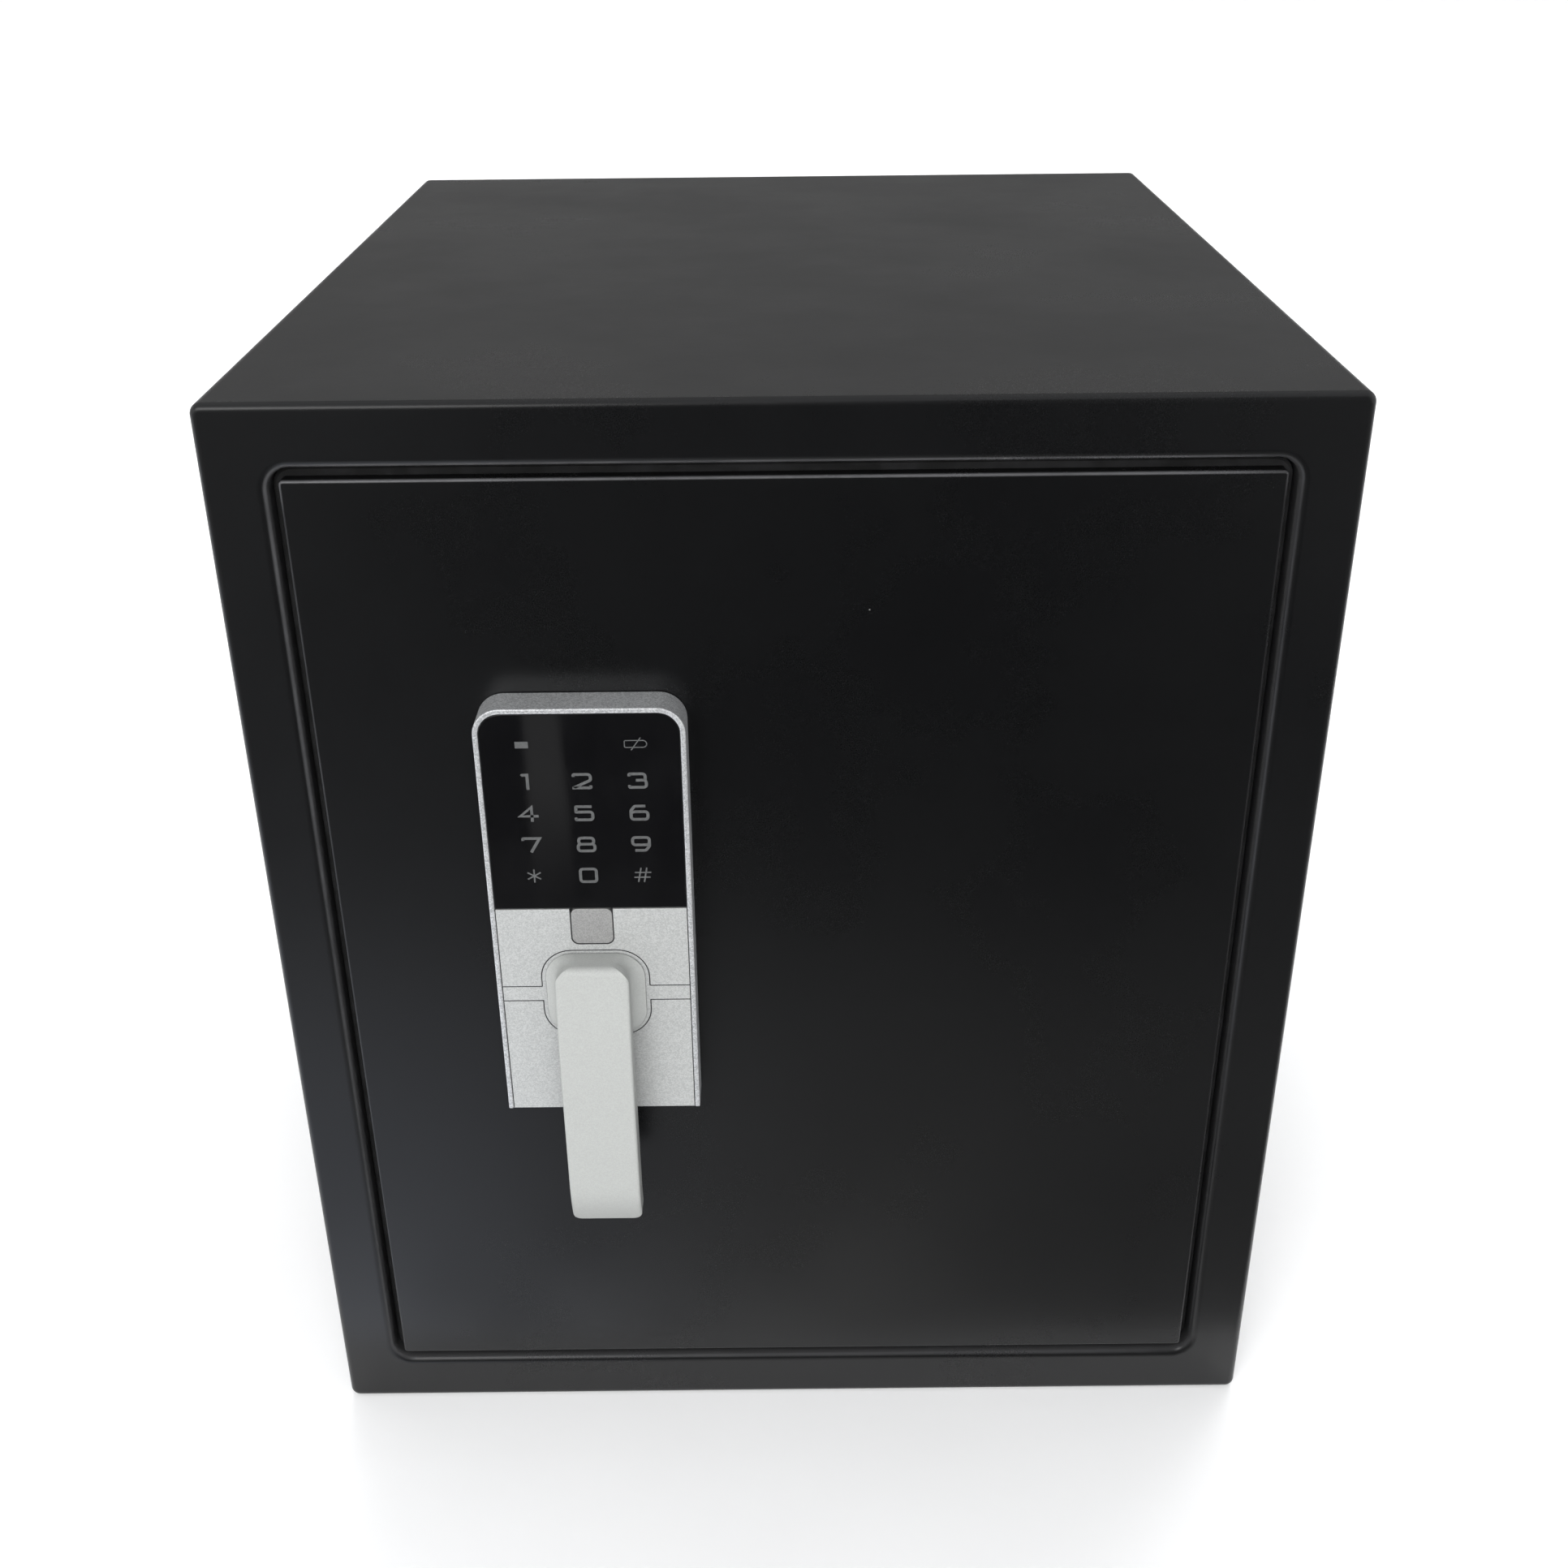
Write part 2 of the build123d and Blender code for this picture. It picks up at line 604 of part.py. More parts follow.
def cover_screws():
    """Cross-head screws that hold the back cover to the pan's tabs."""
    with BuildPart() as screws:
        with BuildSketch(at_depth(COVER_BACK)):
            with Locations(*cover_screw_places()):
                Circle(COVER_SCREW_R)
        extrude(amount=COVER_T + COVER_SCREW_REACH)
        with BuildSketch(at_depth(COVER_BACK + COVER_HEAD_T)):
            with Locations(*cover_screw_places()):
                Circle(COVER_HEAD_R)
        extrude(amount=COVER_HEAD_T)
        crowns = screws.faces().filter_by(Axis.Y).group_by(Axis.Y)[-1]
        fillet(crowns.edges(), radius=COVER_HEAD_EDGE_R)
        with BuildSketch(at_depth(COVER_BACK + COVER_HEAD_T)):
            with Locations(*cover_screw_places()):
                Rectangle(CROSS_SLOT[0], CROSS_SLOT[1])
                Rectangle(CROSS_SLOT[1], CROSS_SLOT[0])
        extrude(amount=CROSS_SLOT[2], mode=Mode.SUBTRACT)
    save(screws, "cover_screws")


# ================================================================ bolt work
def rivet_places():
    """Where the rivets go through the bolts and the carrier, on the XZ plane."""
    return [(BOLT_INNER - RIVET_INSET, z) for z in BOLT_ZS]


def locking_bolts():
    """Three round bolts, each slotted at its inner end for the carrier."""
    with BuildPart() as bolts:
        with BuildSketch(Plane.YZ.offset(BOLT_TIP)):
            with Locations(*bolt_places()):
                Circle(BOLT_R)
        extrude(amount=BOLT_LENGTH)
        tips = bolts.faces().filter_by(Axis.X).group_by(Axis.X)[0]
        chamfer(tips.edges(), length=BOLT_CHAMFER)
        with BuildSketch(at_depth(CARRIER_DEPTHS[1])):
            with Locations(*[(CARRIER_LEFT + CARRIER_BAR / 2, z) for z in BOLT_ZS]):
                Rectangle(CARRIER_BAR, 2 * BOLT_R)
        extrude(amount=CARRIER_T, mode=Mode.SUBTRACT)
        with BuildSketch(at_depth(BOLT_DEPTH + BOLT_R)):
            with Locations(*rivet_places()):
                Circle(RIVET_R)
        extrude(amount=2 * BOLT_R, mode=Mode.SUBTRACT)
    save(bolts, "locking_bolts")


def bolt_carrier():
    """Flat bar that joins the bolts; its arm has a yoke for the crank pin and a notch for the blocker."""
    low, high = BOLT_ZS[0] - CARRIER_END, BOLT_ZS[-1] + CARRIER_END
    left, right = CARRIER_LEFT + CARRIER_BAR / 2, LOCK_X + ARM_REACH
    pin_low = HANDLE_Z + BOLT_TRAVEL / 2 - YOKE_HALF
    pin_high = HANDLE_Z + CRANK_R + YOKE_HALF
    half_slot = BLOCKER_R + BLOCKER_SIDE_GAP
    step = BLOCKER_TRAVEL + BLOCKER_TIP_GAP
    tooth_left, notch_left = LOCK_X + half_slot, LOCK_X + BOLT_TRAVEL - half_slot
    with BuildPart() as carrier:
        with BuildSketch(at_depth(CARRIER_DEPTHS[1])):
            with Locations((CARRIER_LEFT + CARRIER_BAR / 2, (low + high) / 2)):
                Rectangle(CARRIER_BAR, high - low)
            with Locations(((left + right) / 2, HANDLE_Z + (ARM_LOW + ARM_HIGH) / 2)):
                Rectangle(right - left, ARM_HIGH - ARM_LOW)
            with Locations((LOCK_X + BOLT_TRAVEL / 2, (pin_low + pin_high) / 2)):
                Rectangle(2 * YOKE_HALF, pin_high - pin_low, mode=Mode.SUBTRACT)
            with Locations(((CARRIER_LEFT + CARRIER_BAR + tooth_left) / 2, ARM_TOP - step / 2)):
                Rectangle(tooth_left - CARRIER_LEFT - CARRIER_BAR, step, mode=Mode.SUBTRACT)
            with Locations((notch_left + half_slot, ARM_TOP - step / 2)):
                Rectangle(2 * half_slot, step, mode=Mode.SUBTRACT)
            with Locations(*rivet_places()):
                Circle(RIVET_R, mode=Mode.SUBTRACT)
        extrude(amount=CARRIER_T)
        corners = carrier.edges().filter_by(Axis.Y).group_by(Axis.Z)
        fillet(corners[0] + corners[-1], radius=CARRIER_CORNER_R)
    save(carrier, "bolt_carrier")


def bolt_rivets():
    """Rivets through the bolts and the carrier."""
    with BuildPart() as rivets:
        with BuildSketch(at_depth(BOLT_DEPTH + BOLT_R - RIVET_SUNK)):
            with Locations(*rivet_places()):
                Circle(RIVET_R)
        extrude(amount=2 * (BOLT_R - RIVET_SUNK))
    save(rivets, "bolt_rivets")


# ================================================================ handle and spindle
def handle_lever():
    """Cast lever: a flared neck, a bar that thickens below the hub, and a tip that curves to the door."""
    top, tip = HANDLE_Z + LEVER_UP, HANDLE_Z - LEVER_DOWN
    front, back, hub = depth_y(LEVER_FRONT), depth_y(LEVER_BACK), depth_y(LEVER_HUB_FRONT)
    curl = tip + LEVER_CURL
    nose_front, nose_back, nose_rise = LEVER_NOSE
    bend, bend_high, bend_low = LEVER_BEND
    rear_edge = (front + nose_back, tip + nose_rise)
    with BuildPart() as lever:
        with BuildSketch(at_depth(LEVER_BACK + SPINDLE_SOCKET)) as outline:
            with Locations((LOCK_X, (top + tip) / 2)):
                Rectangle(LEVER_W, top - tip)
            fillet(outline.vertices().group_by(Axis.Y)[-1], radius=LEVER_CORNERS[0])
        extrude(amount=LEVER_BACK + SPINDLE_SOCKET - LEVER_FRONT)
        with BuildSketch(Plane.YZ.offset(LOCK_X - LEVER_W)):
            with BuildLine():
                Line((back, top), (hub + LEVER_EDGE_R, top))
                TangentArc((hub + LEVER_EDGE_R, top), (hub, top - LEVER_EDGE_R), tangent=(-1, 0))
                Polyline(
                    (hub, top - LEVER_EDGE_R),
                    (front + bend, tip + bend_high),
                    (front, tip + bend_low),
                    (front, curl),
                )
                TangentArc((front, curl), (front + nose_front, tip), tangent=(0, -1))
                Line((front + nose_front, tip), rear_edge)
                TangentArc((back, curl), rear_edge, tangent=(0, -1))
                Line((back, curl), (back, top))
            make_face()
        extrude(amount=2 * LEVER_W, mode=Mode.INTERSECT)
        fronts = lever.faces().filter_by(lambda face: face.normal_at().Y < -0.5)
        rims = fronts.edges().filter_by(lambda edge: abs(edge.center().X - LOCK_X) > LEVER_W / 2 - 0.3)
        fillet(rims, radius=LEVER_RIM_R)
        with BuildSketch(at_depth(LEVER_BACK + SPINDLE_SOCKET)) as blunted:
            with Locations((LOCK_X, (top + tip) / 2)):
                Rectangle(LEVER_W, top - tip)
            fillet(blunted.vertices().group_by(Axis.Y)[0], radius=LEVER_CORNERS[1])
        extrude(amount=LEVER_BACK + SPINDLE_SOCKET - LEVER_FRONT, mode=Mode.INTERSECT)
        for depth, width, height, corner in NECK_SECTIONS:
            with BuildSketch(at_depth(depth)):
                with Locations((LOCK_X, HANDLE_Z + (LEVER_UP - height / 2) * (depth < NECK_BACK))):
                    RectangleRounded(width, height, corner)
        loft()
        with BuildSketch(at_depth(NECK_BACK)):
            with Locations((LOCK_X, HANDLE_Z)):
                Circle(SPINDLE_R)
        extrude(amount=SPINDLE_SOCKET, mode=Mode.SUBTRACT)
    save(lever, "handle_lever")


def spindle():
    """Round spindle from the lever through the door, squared at its inner end for the crank."""
    shoulder = CRANK_DEPTHS[0] - CRANK_GAP
    with BuildPart() as shaft:
        with BuildSketch(at_depth(shoulder)):
            with Locations((LOCK_X, HANDLE_Z)):
                Circle(SPINDLE_R)
        extrude(amount=shoulder - NECK_BACK + SPINDLE_SOCKET)
        with BuildSketch(at_depth(CRANK_DEPTHS[1])):
            with Locations((LOCK_X, HANDLE_Z)):
                Rectangle(SPINDLE_SQUARE, SPINDLE_SQUARE)
        extrude(amount=CRANK_DEPTHS[1] - shoulder)
        with BuildSketch(at_depth(CLIP_DEPTHS[1])):
            with Locations((LOCK_X, HANDLE_Z)):
                Circle(SPINDLE_R)
                Circle(SPINDLE_R - CLIP_GROOVE, mode=Mode.SUBTRACT)
        extrude(amount=CLIP_DEPTHS[1] - CLIP_DEPTHS[0], mode=Mode.SUBTRACT)
    save(shaft, "spindle")


def spindle_clip():
    """Open retaining ring in the spindle's groove, behind the bush."""
    with BuildPart() as clip:
        with BuildSketch(at_depth(CLIP_DEPTHS[1])):
            with Locations((LOCK_X, HANDLE_Z)):
                Circle(SPINDLE_R + CLIP_WIDTH)
                Circle(SPINDLE_R - CLIP_GROOVE, mode=Mode.SUBTRACT)
            with Locations((LOCK_X, HANDLE_Z - SPINDLE_R - 2)):
                Rectangle(CLIP_MOUTH, CLIP_MOUTH, mode=Mode.SUBTRACT)
        extrude(amount=CLIP_DEPTHS[1] - CLIP_DEPTHS[0])
    save(clip, "spindle_clip")


def spindle_bush():
    """Flanged bush that carries the spindle through the housing and the door plate."""
    wide, rim = BUSH_RIM
    with BuildPart() as bush:
        with BuildSketch(at_depth(PLATE_T + rim)):
            with Locations((LOCK_X, HANDLE_Z)):
                Circle(SPINDLE_HOLE_R + wide)
        extrude(amount=rim)
        with BuildSketch(at_depth(PLATE_T)):
            with Locations((LOCK_X, HANDLE_Z)):
                Circle(SPINDLE_HOLE_R)
        extrude(amount=PLATE_T - SPINDLE_BUSH_FRONT)
        with BuildSketch(at_depth(PLATE_T + rim)):
            with Locations((LOCK_X, HANDLE_Z)):
                Circle(SPINDLE_R + SPINDLE_FIT)
        extrude(amount=PLATE_T + rim - SPINDLE_BUSH_FRONT, mode=Mode.SUBTRACT)
    save(bush, "spindle_bush")


def crank():
    """Crank plate on the spindle's square, with the pin that drives the carrier's yoke."""
    pin = (LOCK_X + BOLT_TRAVEL / 2, HANDLE_Z + BOLT_TRAVEL / 2)
    with BuildPart() as plate:
        with BuildSketch(at_depth(CRANK_DEPTHS[1])):
            with Locations((LOCK_X, HANDLE_Z)):
                Circle(CRANK_HUB_R)
            with Locations(pin):
                Circle(CRANK_EYE_R)
            with Locations(Location(((LOCK_X + pin[0]) / 2, (HANDLE_Z + pin[1]) / 2), 45)):
                Rectangle(CRANK_R, 2 * CRANK_EYE_R)
            with Locations((LOCK_X, HANDLE_Z)):
                Rectangle(SPINDLE_SQUARE, SPINDLE_SQUARE, mode=Mode.SUBTRACT)
        extrude(amount=CRANK_T)
        with BuildSketch(at_depth(CARRIER_DEPTHS[1] + CRANK_AIR)):
            with Locations(pin):
                Circle(CRANK_PIN_R)
        extrude(amount=CARRIER_DEPTHS[1] + CRANK_AIR - CRANK_DEPTHS[1])
    save(plate, "crank")


# ================================================================ lock unit on the door's face
def lock_housing():
    """Die-cast housing: a shallow box with a bright rim, a ledge for the facia and posts for its screws."""
    with BuildPart() as housing:
        with BuildSketch(at_depth(-GASKET_T)) as outline:
            with Locations((LOCK_X, LOCK_MID_Z)):
                Rectangle(LOCK_W, LOCK_H)
            corners = outline.vertices().group_by(Axis.Y)
            fillet(corners[-1], radius=LOCK_CORNER)
            fillet(corners[0], radius=1)
        extrude(amount=-GASKET_T - LOCK_FRONT)
        with BuildSketch(at_depth(FACIA_BACK)) as pocket:
            with Locations((LOCK_X, (LOCK_TOP - RIM + LOCK_BOTTOM) / 2)):
                Rectangle(INNER_W, LOCK_H - RIM)
            fillet(pocket.vertices().group_by(Axis.Y)[-1], radius=LOCK_CORNER - RIM)
        extrude(amount=FACIA_T + RIM_PROUD, mode=Mode.SUBTRACT)
        rim = housing.faces().filter_by(Axis.Y).sort_by(Axis.Y)[0]
        fillet(rim.edges().filter_by(lambda edge: edge.length > 2 * RIM), radius=0.5)
        with BuildSketch(at_depth(-GASKET_T - HOUSING_BACK_T)):
            with Locations((LOCK_X, LOCK_MID_Z)):
                RectangleRounded(INNER_W - 2 * HOUSING_SIDE_T, LOCK_H - 5 * HOUSING_SIDE_T, POST_R)
        extrude(amount=-GASKET_T - HOUSING_BACK_T - FACIA_BACK, mode=Mode.SUBTRACT)
        with BuildSketch(at_depth(-GASKET_T - HOUSING_BACK_T)):
            with Locations(*lock_screw_places()):
                Circle(POST_R)
            with Locations((LOCK_X, KEYHOLE_Z), (LOCK_X, HANDLE_Z)):
                Circle(HUB_R)
        extrude(amount=-GASKET_T - HOUSING_BACK_T - POST_TOP)
        with BuildSketch(at_depth(-GASKET_T)):
            with Locations(*lock_screw_places()):
                Circle(LOCK_SCREW_R)
            with Locations((LOCK_X, KEYHOLE_Z)):
                Circle(CYLINDER_R)
            with Locations((LOCK_X, HANDLE_Z)):
                Circle(SPINDLE_HOLE_R)
            with Locations((LOCK_X, CABLE_Z)):
                Circle(CABLE_HOLE_R)
        extrude(amount=-GASKET_T - POST_TOP, mode=Mode.SUBTRACT)
    save(housing, "lock_housing")


def lock_gasket():
    """Foam ring between the housing and the door plate."""
    outer, inner = GASKET_INSET, GASKET_INSET + GASKET_BAND
    with BuildPart() as gasket:
        with BuildSketch(at_depth(0)):
            with Locations((LOCK_X, LOCK_MID_Z)):
                RectangleRounded(LOCK_W - 2 * outer, LOCK_H - 2 * outer, LOCK_CORNER - 1)
                RectangleRounded(LOCK_W - 2 * inner, LOCK_H - 2 * inner, LOCK_CORNER / 2, mode=Mode.SUBTRACT)
        extrude(amount=GASKET_T)
    save(gasket, "lock_gasket")


def keypad_glass():
    """Black glass over the touch keypad."""
    top = LOCK_TOP - RIM - SEAM / 2
    with BuildPart() as glass:
        with BuildSketch(at_depth(FACIA_BACK)) as outline:
            with Locations((LOCK_X, (top + GLASS_BOTTOM) / 2)):
                Rectangle(INNER_W - SEAM, top - GLASS_BOTTOM)
            fillet(outline.vertices().group_by(Axis.Y)[-1], radius=LOCK_CORNER - RIM)
        extrude(amount=FACIA_T)
        fillet(glass.faces().sort_by(Axis.Y)[0].edges(), radius=0.25)
    save(glass, "keypad_glass")


def keypad_board():
    """Touch board behind the glass, with its cable socket."""
    with BuildPart() as board:
        with BuildSketch(at_depth(FACIA_BACK + BOARD_T)):
            with Locations((LOCK_X, KEYPAD_BOARD_Z)):
                Rectangle(*KEYPAD_BOARD)
        extrude(amount=BOARD_T)
        with BuildSketch(at_depth(FACIA_BACK + BOARD_T + SOCKET[2])):
            with Locations((LOCK_X, CABLE_Z)):
                Rectangle(SOCKET[0], SOCKET[1])
        extrude(amount=SOCKET[2])
    save(board, "keypad_board")


def escutcheon_cut():
    """Clears the sketch being made for the escutcheon, with a groove all round it."""
    with Locations((LOCK_X, HANDLE_Z)):
        RectangleRounded(BOSS_W + 2 * SEAM, BOSS_H + 2 * SEAM, BOSS_CORNER + SEAM, mode=Mode.SUBTRACT)
        Rectangle(LOCK_W, 2 * (ARM_HALF + SEAM), mode=Mode.SUBTRACT)


def upper_plate():
    """Silver plate between the glass and the escutcheon's arms, cut out for the key cover."""
    top = GLASS_BOTTOM - SEAM
    with BuildPart() as plate:
        with BuildSketch(at_depth(FACIA_BACK)):
            with Locations((LOCK_X, (top + HANDLE_Z) / 2)):
                Rectangle(INNER_W - SEAM, top - HANDLE_Z)
            escutcheon_cut()
            with Locations((LOCK_X, KEYHOLE_Z + CAP_CORNER)):
                Rectangle(CAP_W + 2 * SEAM, CAP_H, mode=Mode.SUBTRACT)
            with Locations((LOCK_X, KEYHOLE_Z)):
                RectangleRounded(CAP_W + 2 * SEAM, CAP_H + 2 * SEAM, CAP_CORNER + SEAM, mode=Mode.SUBTRACT)
        extrude(amount=FACIA_T)
    save(plate, "upper_plate")


def lower_plate():
    """Silver plate below the arms, reaching the bottom edge of the housing."""
    with BuildPart() as plate:
        with BuildSketch(at_depth(FACIA_BACK)):
            with Locations((LOCK_X, (LOCK_BOTTOM + HANDLE_Z) / 2)):
                Rectangle(INNER_W - SEAM, HANDLE_Z - LOCK_BOTTOM)
            escutcheon_cut()
        extrude(amount=FACIA_T)
    save(plate, "lower_plate")


def escutcheon():
    """Rounded square behind the lever's neck, with an arm to each side."""
    with BuildPart() as boss:
        with BuildSketch(at_depth(FACIA_BACK)):
            with Locations((LOCK_X, HANDLE_Z)):
                RectangleRounded(BOSS_W, BOSS_H, BOSS_CORNER)
                Rectangle(INNER_W - SEAM, 2 * ARM_HALF)
                Circle(SPINDLE_R + 0.4, mode=Mode.SUBTRACT)
        extrude(amount=FACIA_T)
    save(boss, "escutcheon")


def key_cover():
    """Square cap that snaps over the override keyhole."""
    with BuildPart() as cap:
        with BuildSketch(at_depth(FACIA_BACK)):
            with Locations((LOCK_X, KEYHOLE_Z)):
                RectangleRounded(CAP_W, CAP_H, CAP_CORNER)
        extrude(amount=FACIA_T)
        fillet(cap.faces().sort_by(Axis.Y)[0].edges(), radius=0.3)
    save(cap, "key_cover")


def lock_screws():
    """Four screws from inside the door into the housing's posts."""
    radius, thick = LOCK_HEAD
    with BuildPart() as screws:
        with BuildSketch(at_depth(PLATE_T)):
            with Locations(*lock_screw_places()):
                Circle(LOCK_SCREW_R)
        extrude(amount=PLATE_T + LOCK_SCREW_REACH)
        with BuildSketch(at_depth(PLATE_T + thick)):
            with Locations(*lock_screw_places()):
                Circle(radius)
        extrude(amount=thick)
    save(screws, "lock_screws")


# ================================================================ override lock
def override_cylinder():
    """Cam-lock body behind the key cover."""
    with BuildPart() as body:
        with BuildSketch(at_depth(CYLINDER_BACK)):
            with Locations((LOCK_X, KEYHOLE_Z)):
                Circle(CYLINDER_R)
        extrude(amount=CYLINDER_BACK - CYLINDER_FRONT)
        with BuildSketch(at_depth(POST_TOP)):
            with Locations((LOCK_X, KEYHOLE_Z)):
                Circle(CYLINDER_FLANGE_R)
        extrude(amount=POST_TOP - CYLINDER_FRONT)
        with BuildSketch(at_depth(CYLINDER_BACK)):
            with Locations((LOCK_X, KEYHOLE_Z)):
                Circle(PLUG_R + PLUG_FIT)
        extrude(amount=CYLINDER_BACK - CYLINDER_FRONT, mode=Mode.SUBTRACT)
    save(body, "override_cylinder")


def override_nut():
    """Hexagon nut that clamps the cylinder to the door plate."""
    with BuildPart() as nut:
        with BuildSketch(at_depth(PLATE_T + NUT_T)):
            with Locations((LOCK_X, KEYHOLE_Z)):
                RegularPolygon(NUT_R, 6)
                Circle(CYLINDER_R, mode=Mode.SUBTRACT)
        extrude(amount=NUT_T)
    save(nut, "override_nut")


def override_plug():
    """Turning plug with its keyway."""
    with BuildPart() as plug:
        with BuildSketch(at_depth(CYLINDER_BACK + PLUG_PROUD)):
            with Locations((LOCK_X, KEYHOLE_Z)):
                Circle(PLUG_R)
        extrude(amount=CYLINDER_BACK + PLUG_PROUD - CYLINDER_FRONT)
        with BuildSketch(at_depth(CYLINDER_FRONT + KEYWAY[2])):
            with Locations((LOCK_X, KEYHOLE_Z)):
                Rectangle(KEYWAY[0], KEYWAY[1])
        extrude(amount=KEYWAY[2], mode=Mode.SUBTRACT)
    save(plug, "override_plug")


def override_cam():
    """Flat cam on the back of the plug."""
    with BuildPart() as cam:
        with BuildSketch(at_depth(CYLINDER_BACK + PLUG_PROUD + CAM_T)):
            with Locations((LOCK_X + CAM_SHIFT, KEYHOLE_Z)):
                RectangleRounded(*CAM)
        extrude(amount=CAM_T)
    save(cam, "override_cam")


# ================================================================ blocking solenoid
def solenoid_frame():
    """Open steel yoke of the solenoid, on two feet that reach the door plate."""
    height = SOLENOID_HIGH - SOLENOID_LOW
    side = LOCK_X + (SOLENOID_W - SOLENOID_SHEET) / 2
    with BuildPart() as frame:
        with BuildSketch(at_depth(SOLENOID_DEPTHS[1])):
            for z in (SOLENOID_LOW + SOLENOID_SHEET / 2, SOLENOID_HIGH - SOLENOID_SHEET / 2):
                with Locations((LOCK_X, z)):
                    Rectangle(SOLENOID_W, SOLENOID_SHEET)
            with Locations((side, SOLENOID_LOW + height / 2)):
                Rectangle(SOLENOID_SHEET, height)
        extrude(amount=SOLENOID_DEPTHS[1] - SOLENOID_DEPTHS[0])
        with BuildSketch(at_depth(SOLENOID_DEPTHS[0])):
            with Locations((side, SOLENOID_LOW + 4), (side, SOLENOID_HIGH - 4)):
                Rectangle(SOLENOID_SHEET, 8)
        extrude(amount=SOLENOID_DEPTHS[0] - PLATE_T)
        with BuildSketch(Plane.XY.offset(SOLENOID_LOW)):
            with Locations((LOCK_X, depth_y(BOLT_DEPTH))):
                Circle(BLOCKER_R + PIN_FIT)
        extrude(amount=SOLENOID_SHEET, mode=Mode.SUBTRACT)
    save(frame, "solenoid_frame")


def solenoid_coil():
    """Wound coil between the yoke's ends."""
    low, high = SOLENOID_LOW + SOLENOID_SHEET, SOLENOID_HIGH - SOLENOID_SHEET
    flange = COIL_FLANGE_T
    with BuildPart() as coil:
        for start, end, radius in (
            (low, low + flange, COIL_FLANGE_R),
            (low + flange, high - flange, COIL_R),
            (high - flange, high, COIL_FLANGE_R),
        ):
            with BuildSketch(Plane.XY.offset(start)):
                with Locations((LOCK_X, depth_y(BOLT_DEPTH))):
                    Circle(radius)
            extrude(amount=end - start)
        with BuildSketch(Plane.XY.offset(low)):
            with Locations((LOCK_X, depth_y(BOLT_DEPTH))):
                Circle(BLOCKER_R + PIN_FIT)
        extrude(amount=PIN_INSIDE + SOLENOID_SHEET, mode=Mode.SUBTRACT)
    save(coil, "solenoid_coil")


def blocker_pin():
    """Plunger with a spring collar; it drops into the carrier's notch and is shown drawn up."""
    with BuildPart() as pin:
        with BuildSketch(Plane.XY.offset(BLOCKER_TIP)):
            with Locations((LOCK_X, depth_y(BOLT_DEPTH))):
                Circle(BLOCKER_R)
        extrude(amount=SOLENOID_LOW + PIN_INSIDE - BLOCKER_TIP)
        chamfer(pin.faces().sort_by(Axis.Z)[0].edges(), length=0.6)
        with BuildSketch(Plane.XY.offset(SPRING_LOW - COLLAR_T)):
            with Locations((LOCK_X, depth_y(BOLT_DEPTH))):
                Circle(COLLAR_R)
        extrude(amount=COLLAR_T)
    save(pin, "blocker_pin")


def blocker_spring():
    """Coil spring between the pin's collar and the solenoid's frame."""
    low, high = SPRING_LOW + SPRING_WIRE_R, SOLENOID_LOW - SPRING_WIRE_R
    centre = (LOCK_X, depth_y(BOLT_DEPTH), low)
    with BuildPart() as spring:
        with BuildLine() as path:
            Helix(pitch=(high - low) / SPRING_TURNS, height=high - low, radius=SPRING_R, center=centre)
        with BuildSketch(Plane(origin=path.line @ 0, z_dir=path.line % 0)):
            Circle(SPRING_WIRE_R)
        sweep(is_frenet=True)
    save(spring, "blocker_spring")


# ================================================================ electronics in the door
def control_board():
    """Circuit board with its chips and its buzzer."""
    with BuildPart() as board:
        with BuildSketch(at_depth(BOARD_DEPTH + BOARD_T)):
            with Locations(BOARD):
                RectangleRounded(*BOARD_SIZE, 2)
        extrude(amount=BOARD_T)
        for x, z, width, height, tall in CHIPS:
            with BuildSketch(at_depth(BOARD_DEPTH)):
                with Locations((BOARD[0] + x, BOARD[1] + z)):
                    Rectangle(width, height)
            extrude(amount=tall)
        with BuildSketch(at_depth(BOARD_DEPTH)):
            with Locations((BOARD[0] + BUZZER[0], BOARD[1] + BUZZER[1])):
                Circle(BUZZER[2])
        extrude(amount=BUZZER[3])
    save(board, "control_board")


def board_posts():
    """Four hexagonal posts that carry the control board."""
    with BuildPart() as posts:
        with BuildSketch(at_depth(BOARD_DEPTH)):
            with Locations(BOARD):
                with GridLocations(*POSTS, 2, 2):
                    RegularPolygon(POST_SIZE, 6)
        extrude(amount=BOARD_DEPTH - PLATE_T)
    save(posts, "board_posts")


def battery_tray():
    """Plastic tray let into the back cover, open to the inside of the safe."""
    width, height, depth = TRAY
    with BuildPart() as tray:
        with BuildSketch(at_depth(COVER_BACK)):
            with Locations(BATTERY):
                RectangleRounded(width, height, TRAY_CORNER_R)
        extrude(amount=depth)
        with BuildSketch(at_depth(COVER_BACK)):
            with Locations(BATTERY):
                RectangleRounded(width - 2 * TRAY_WALL, height - 2 * TRAY_WALL, 1)
        extrude(amount=depth - TRAY_WALL, mode=Mode.SUBTRACT)
    save(tray, "battery_tray")


def batteries():
    """Four AA cells side by side."""
    middle = COVER_BACK - TRAY[2] + TRAY_WALL + BATTERY_R + 0.2
    cap_r, cap = CELL_CAP
    low = BATTERY[1] - BATTERY_L / 2
    with BuildPart() as cells:
        for start, length, radius in ((low, BATTERY_L - cap, BATTERY_R), (low + BATTERY_L - cap, cap, cap_r)):
            with BuildSketch(Plane.XY.offset(start)):
                with Locations((BATTERY[0], depth_y(middle))):
                    with GridLocations(BATTERY_PITCH, 0, 4, 1):
                        Circle(radius)
            extrude(amount=length)
    save(cells, "batteries")


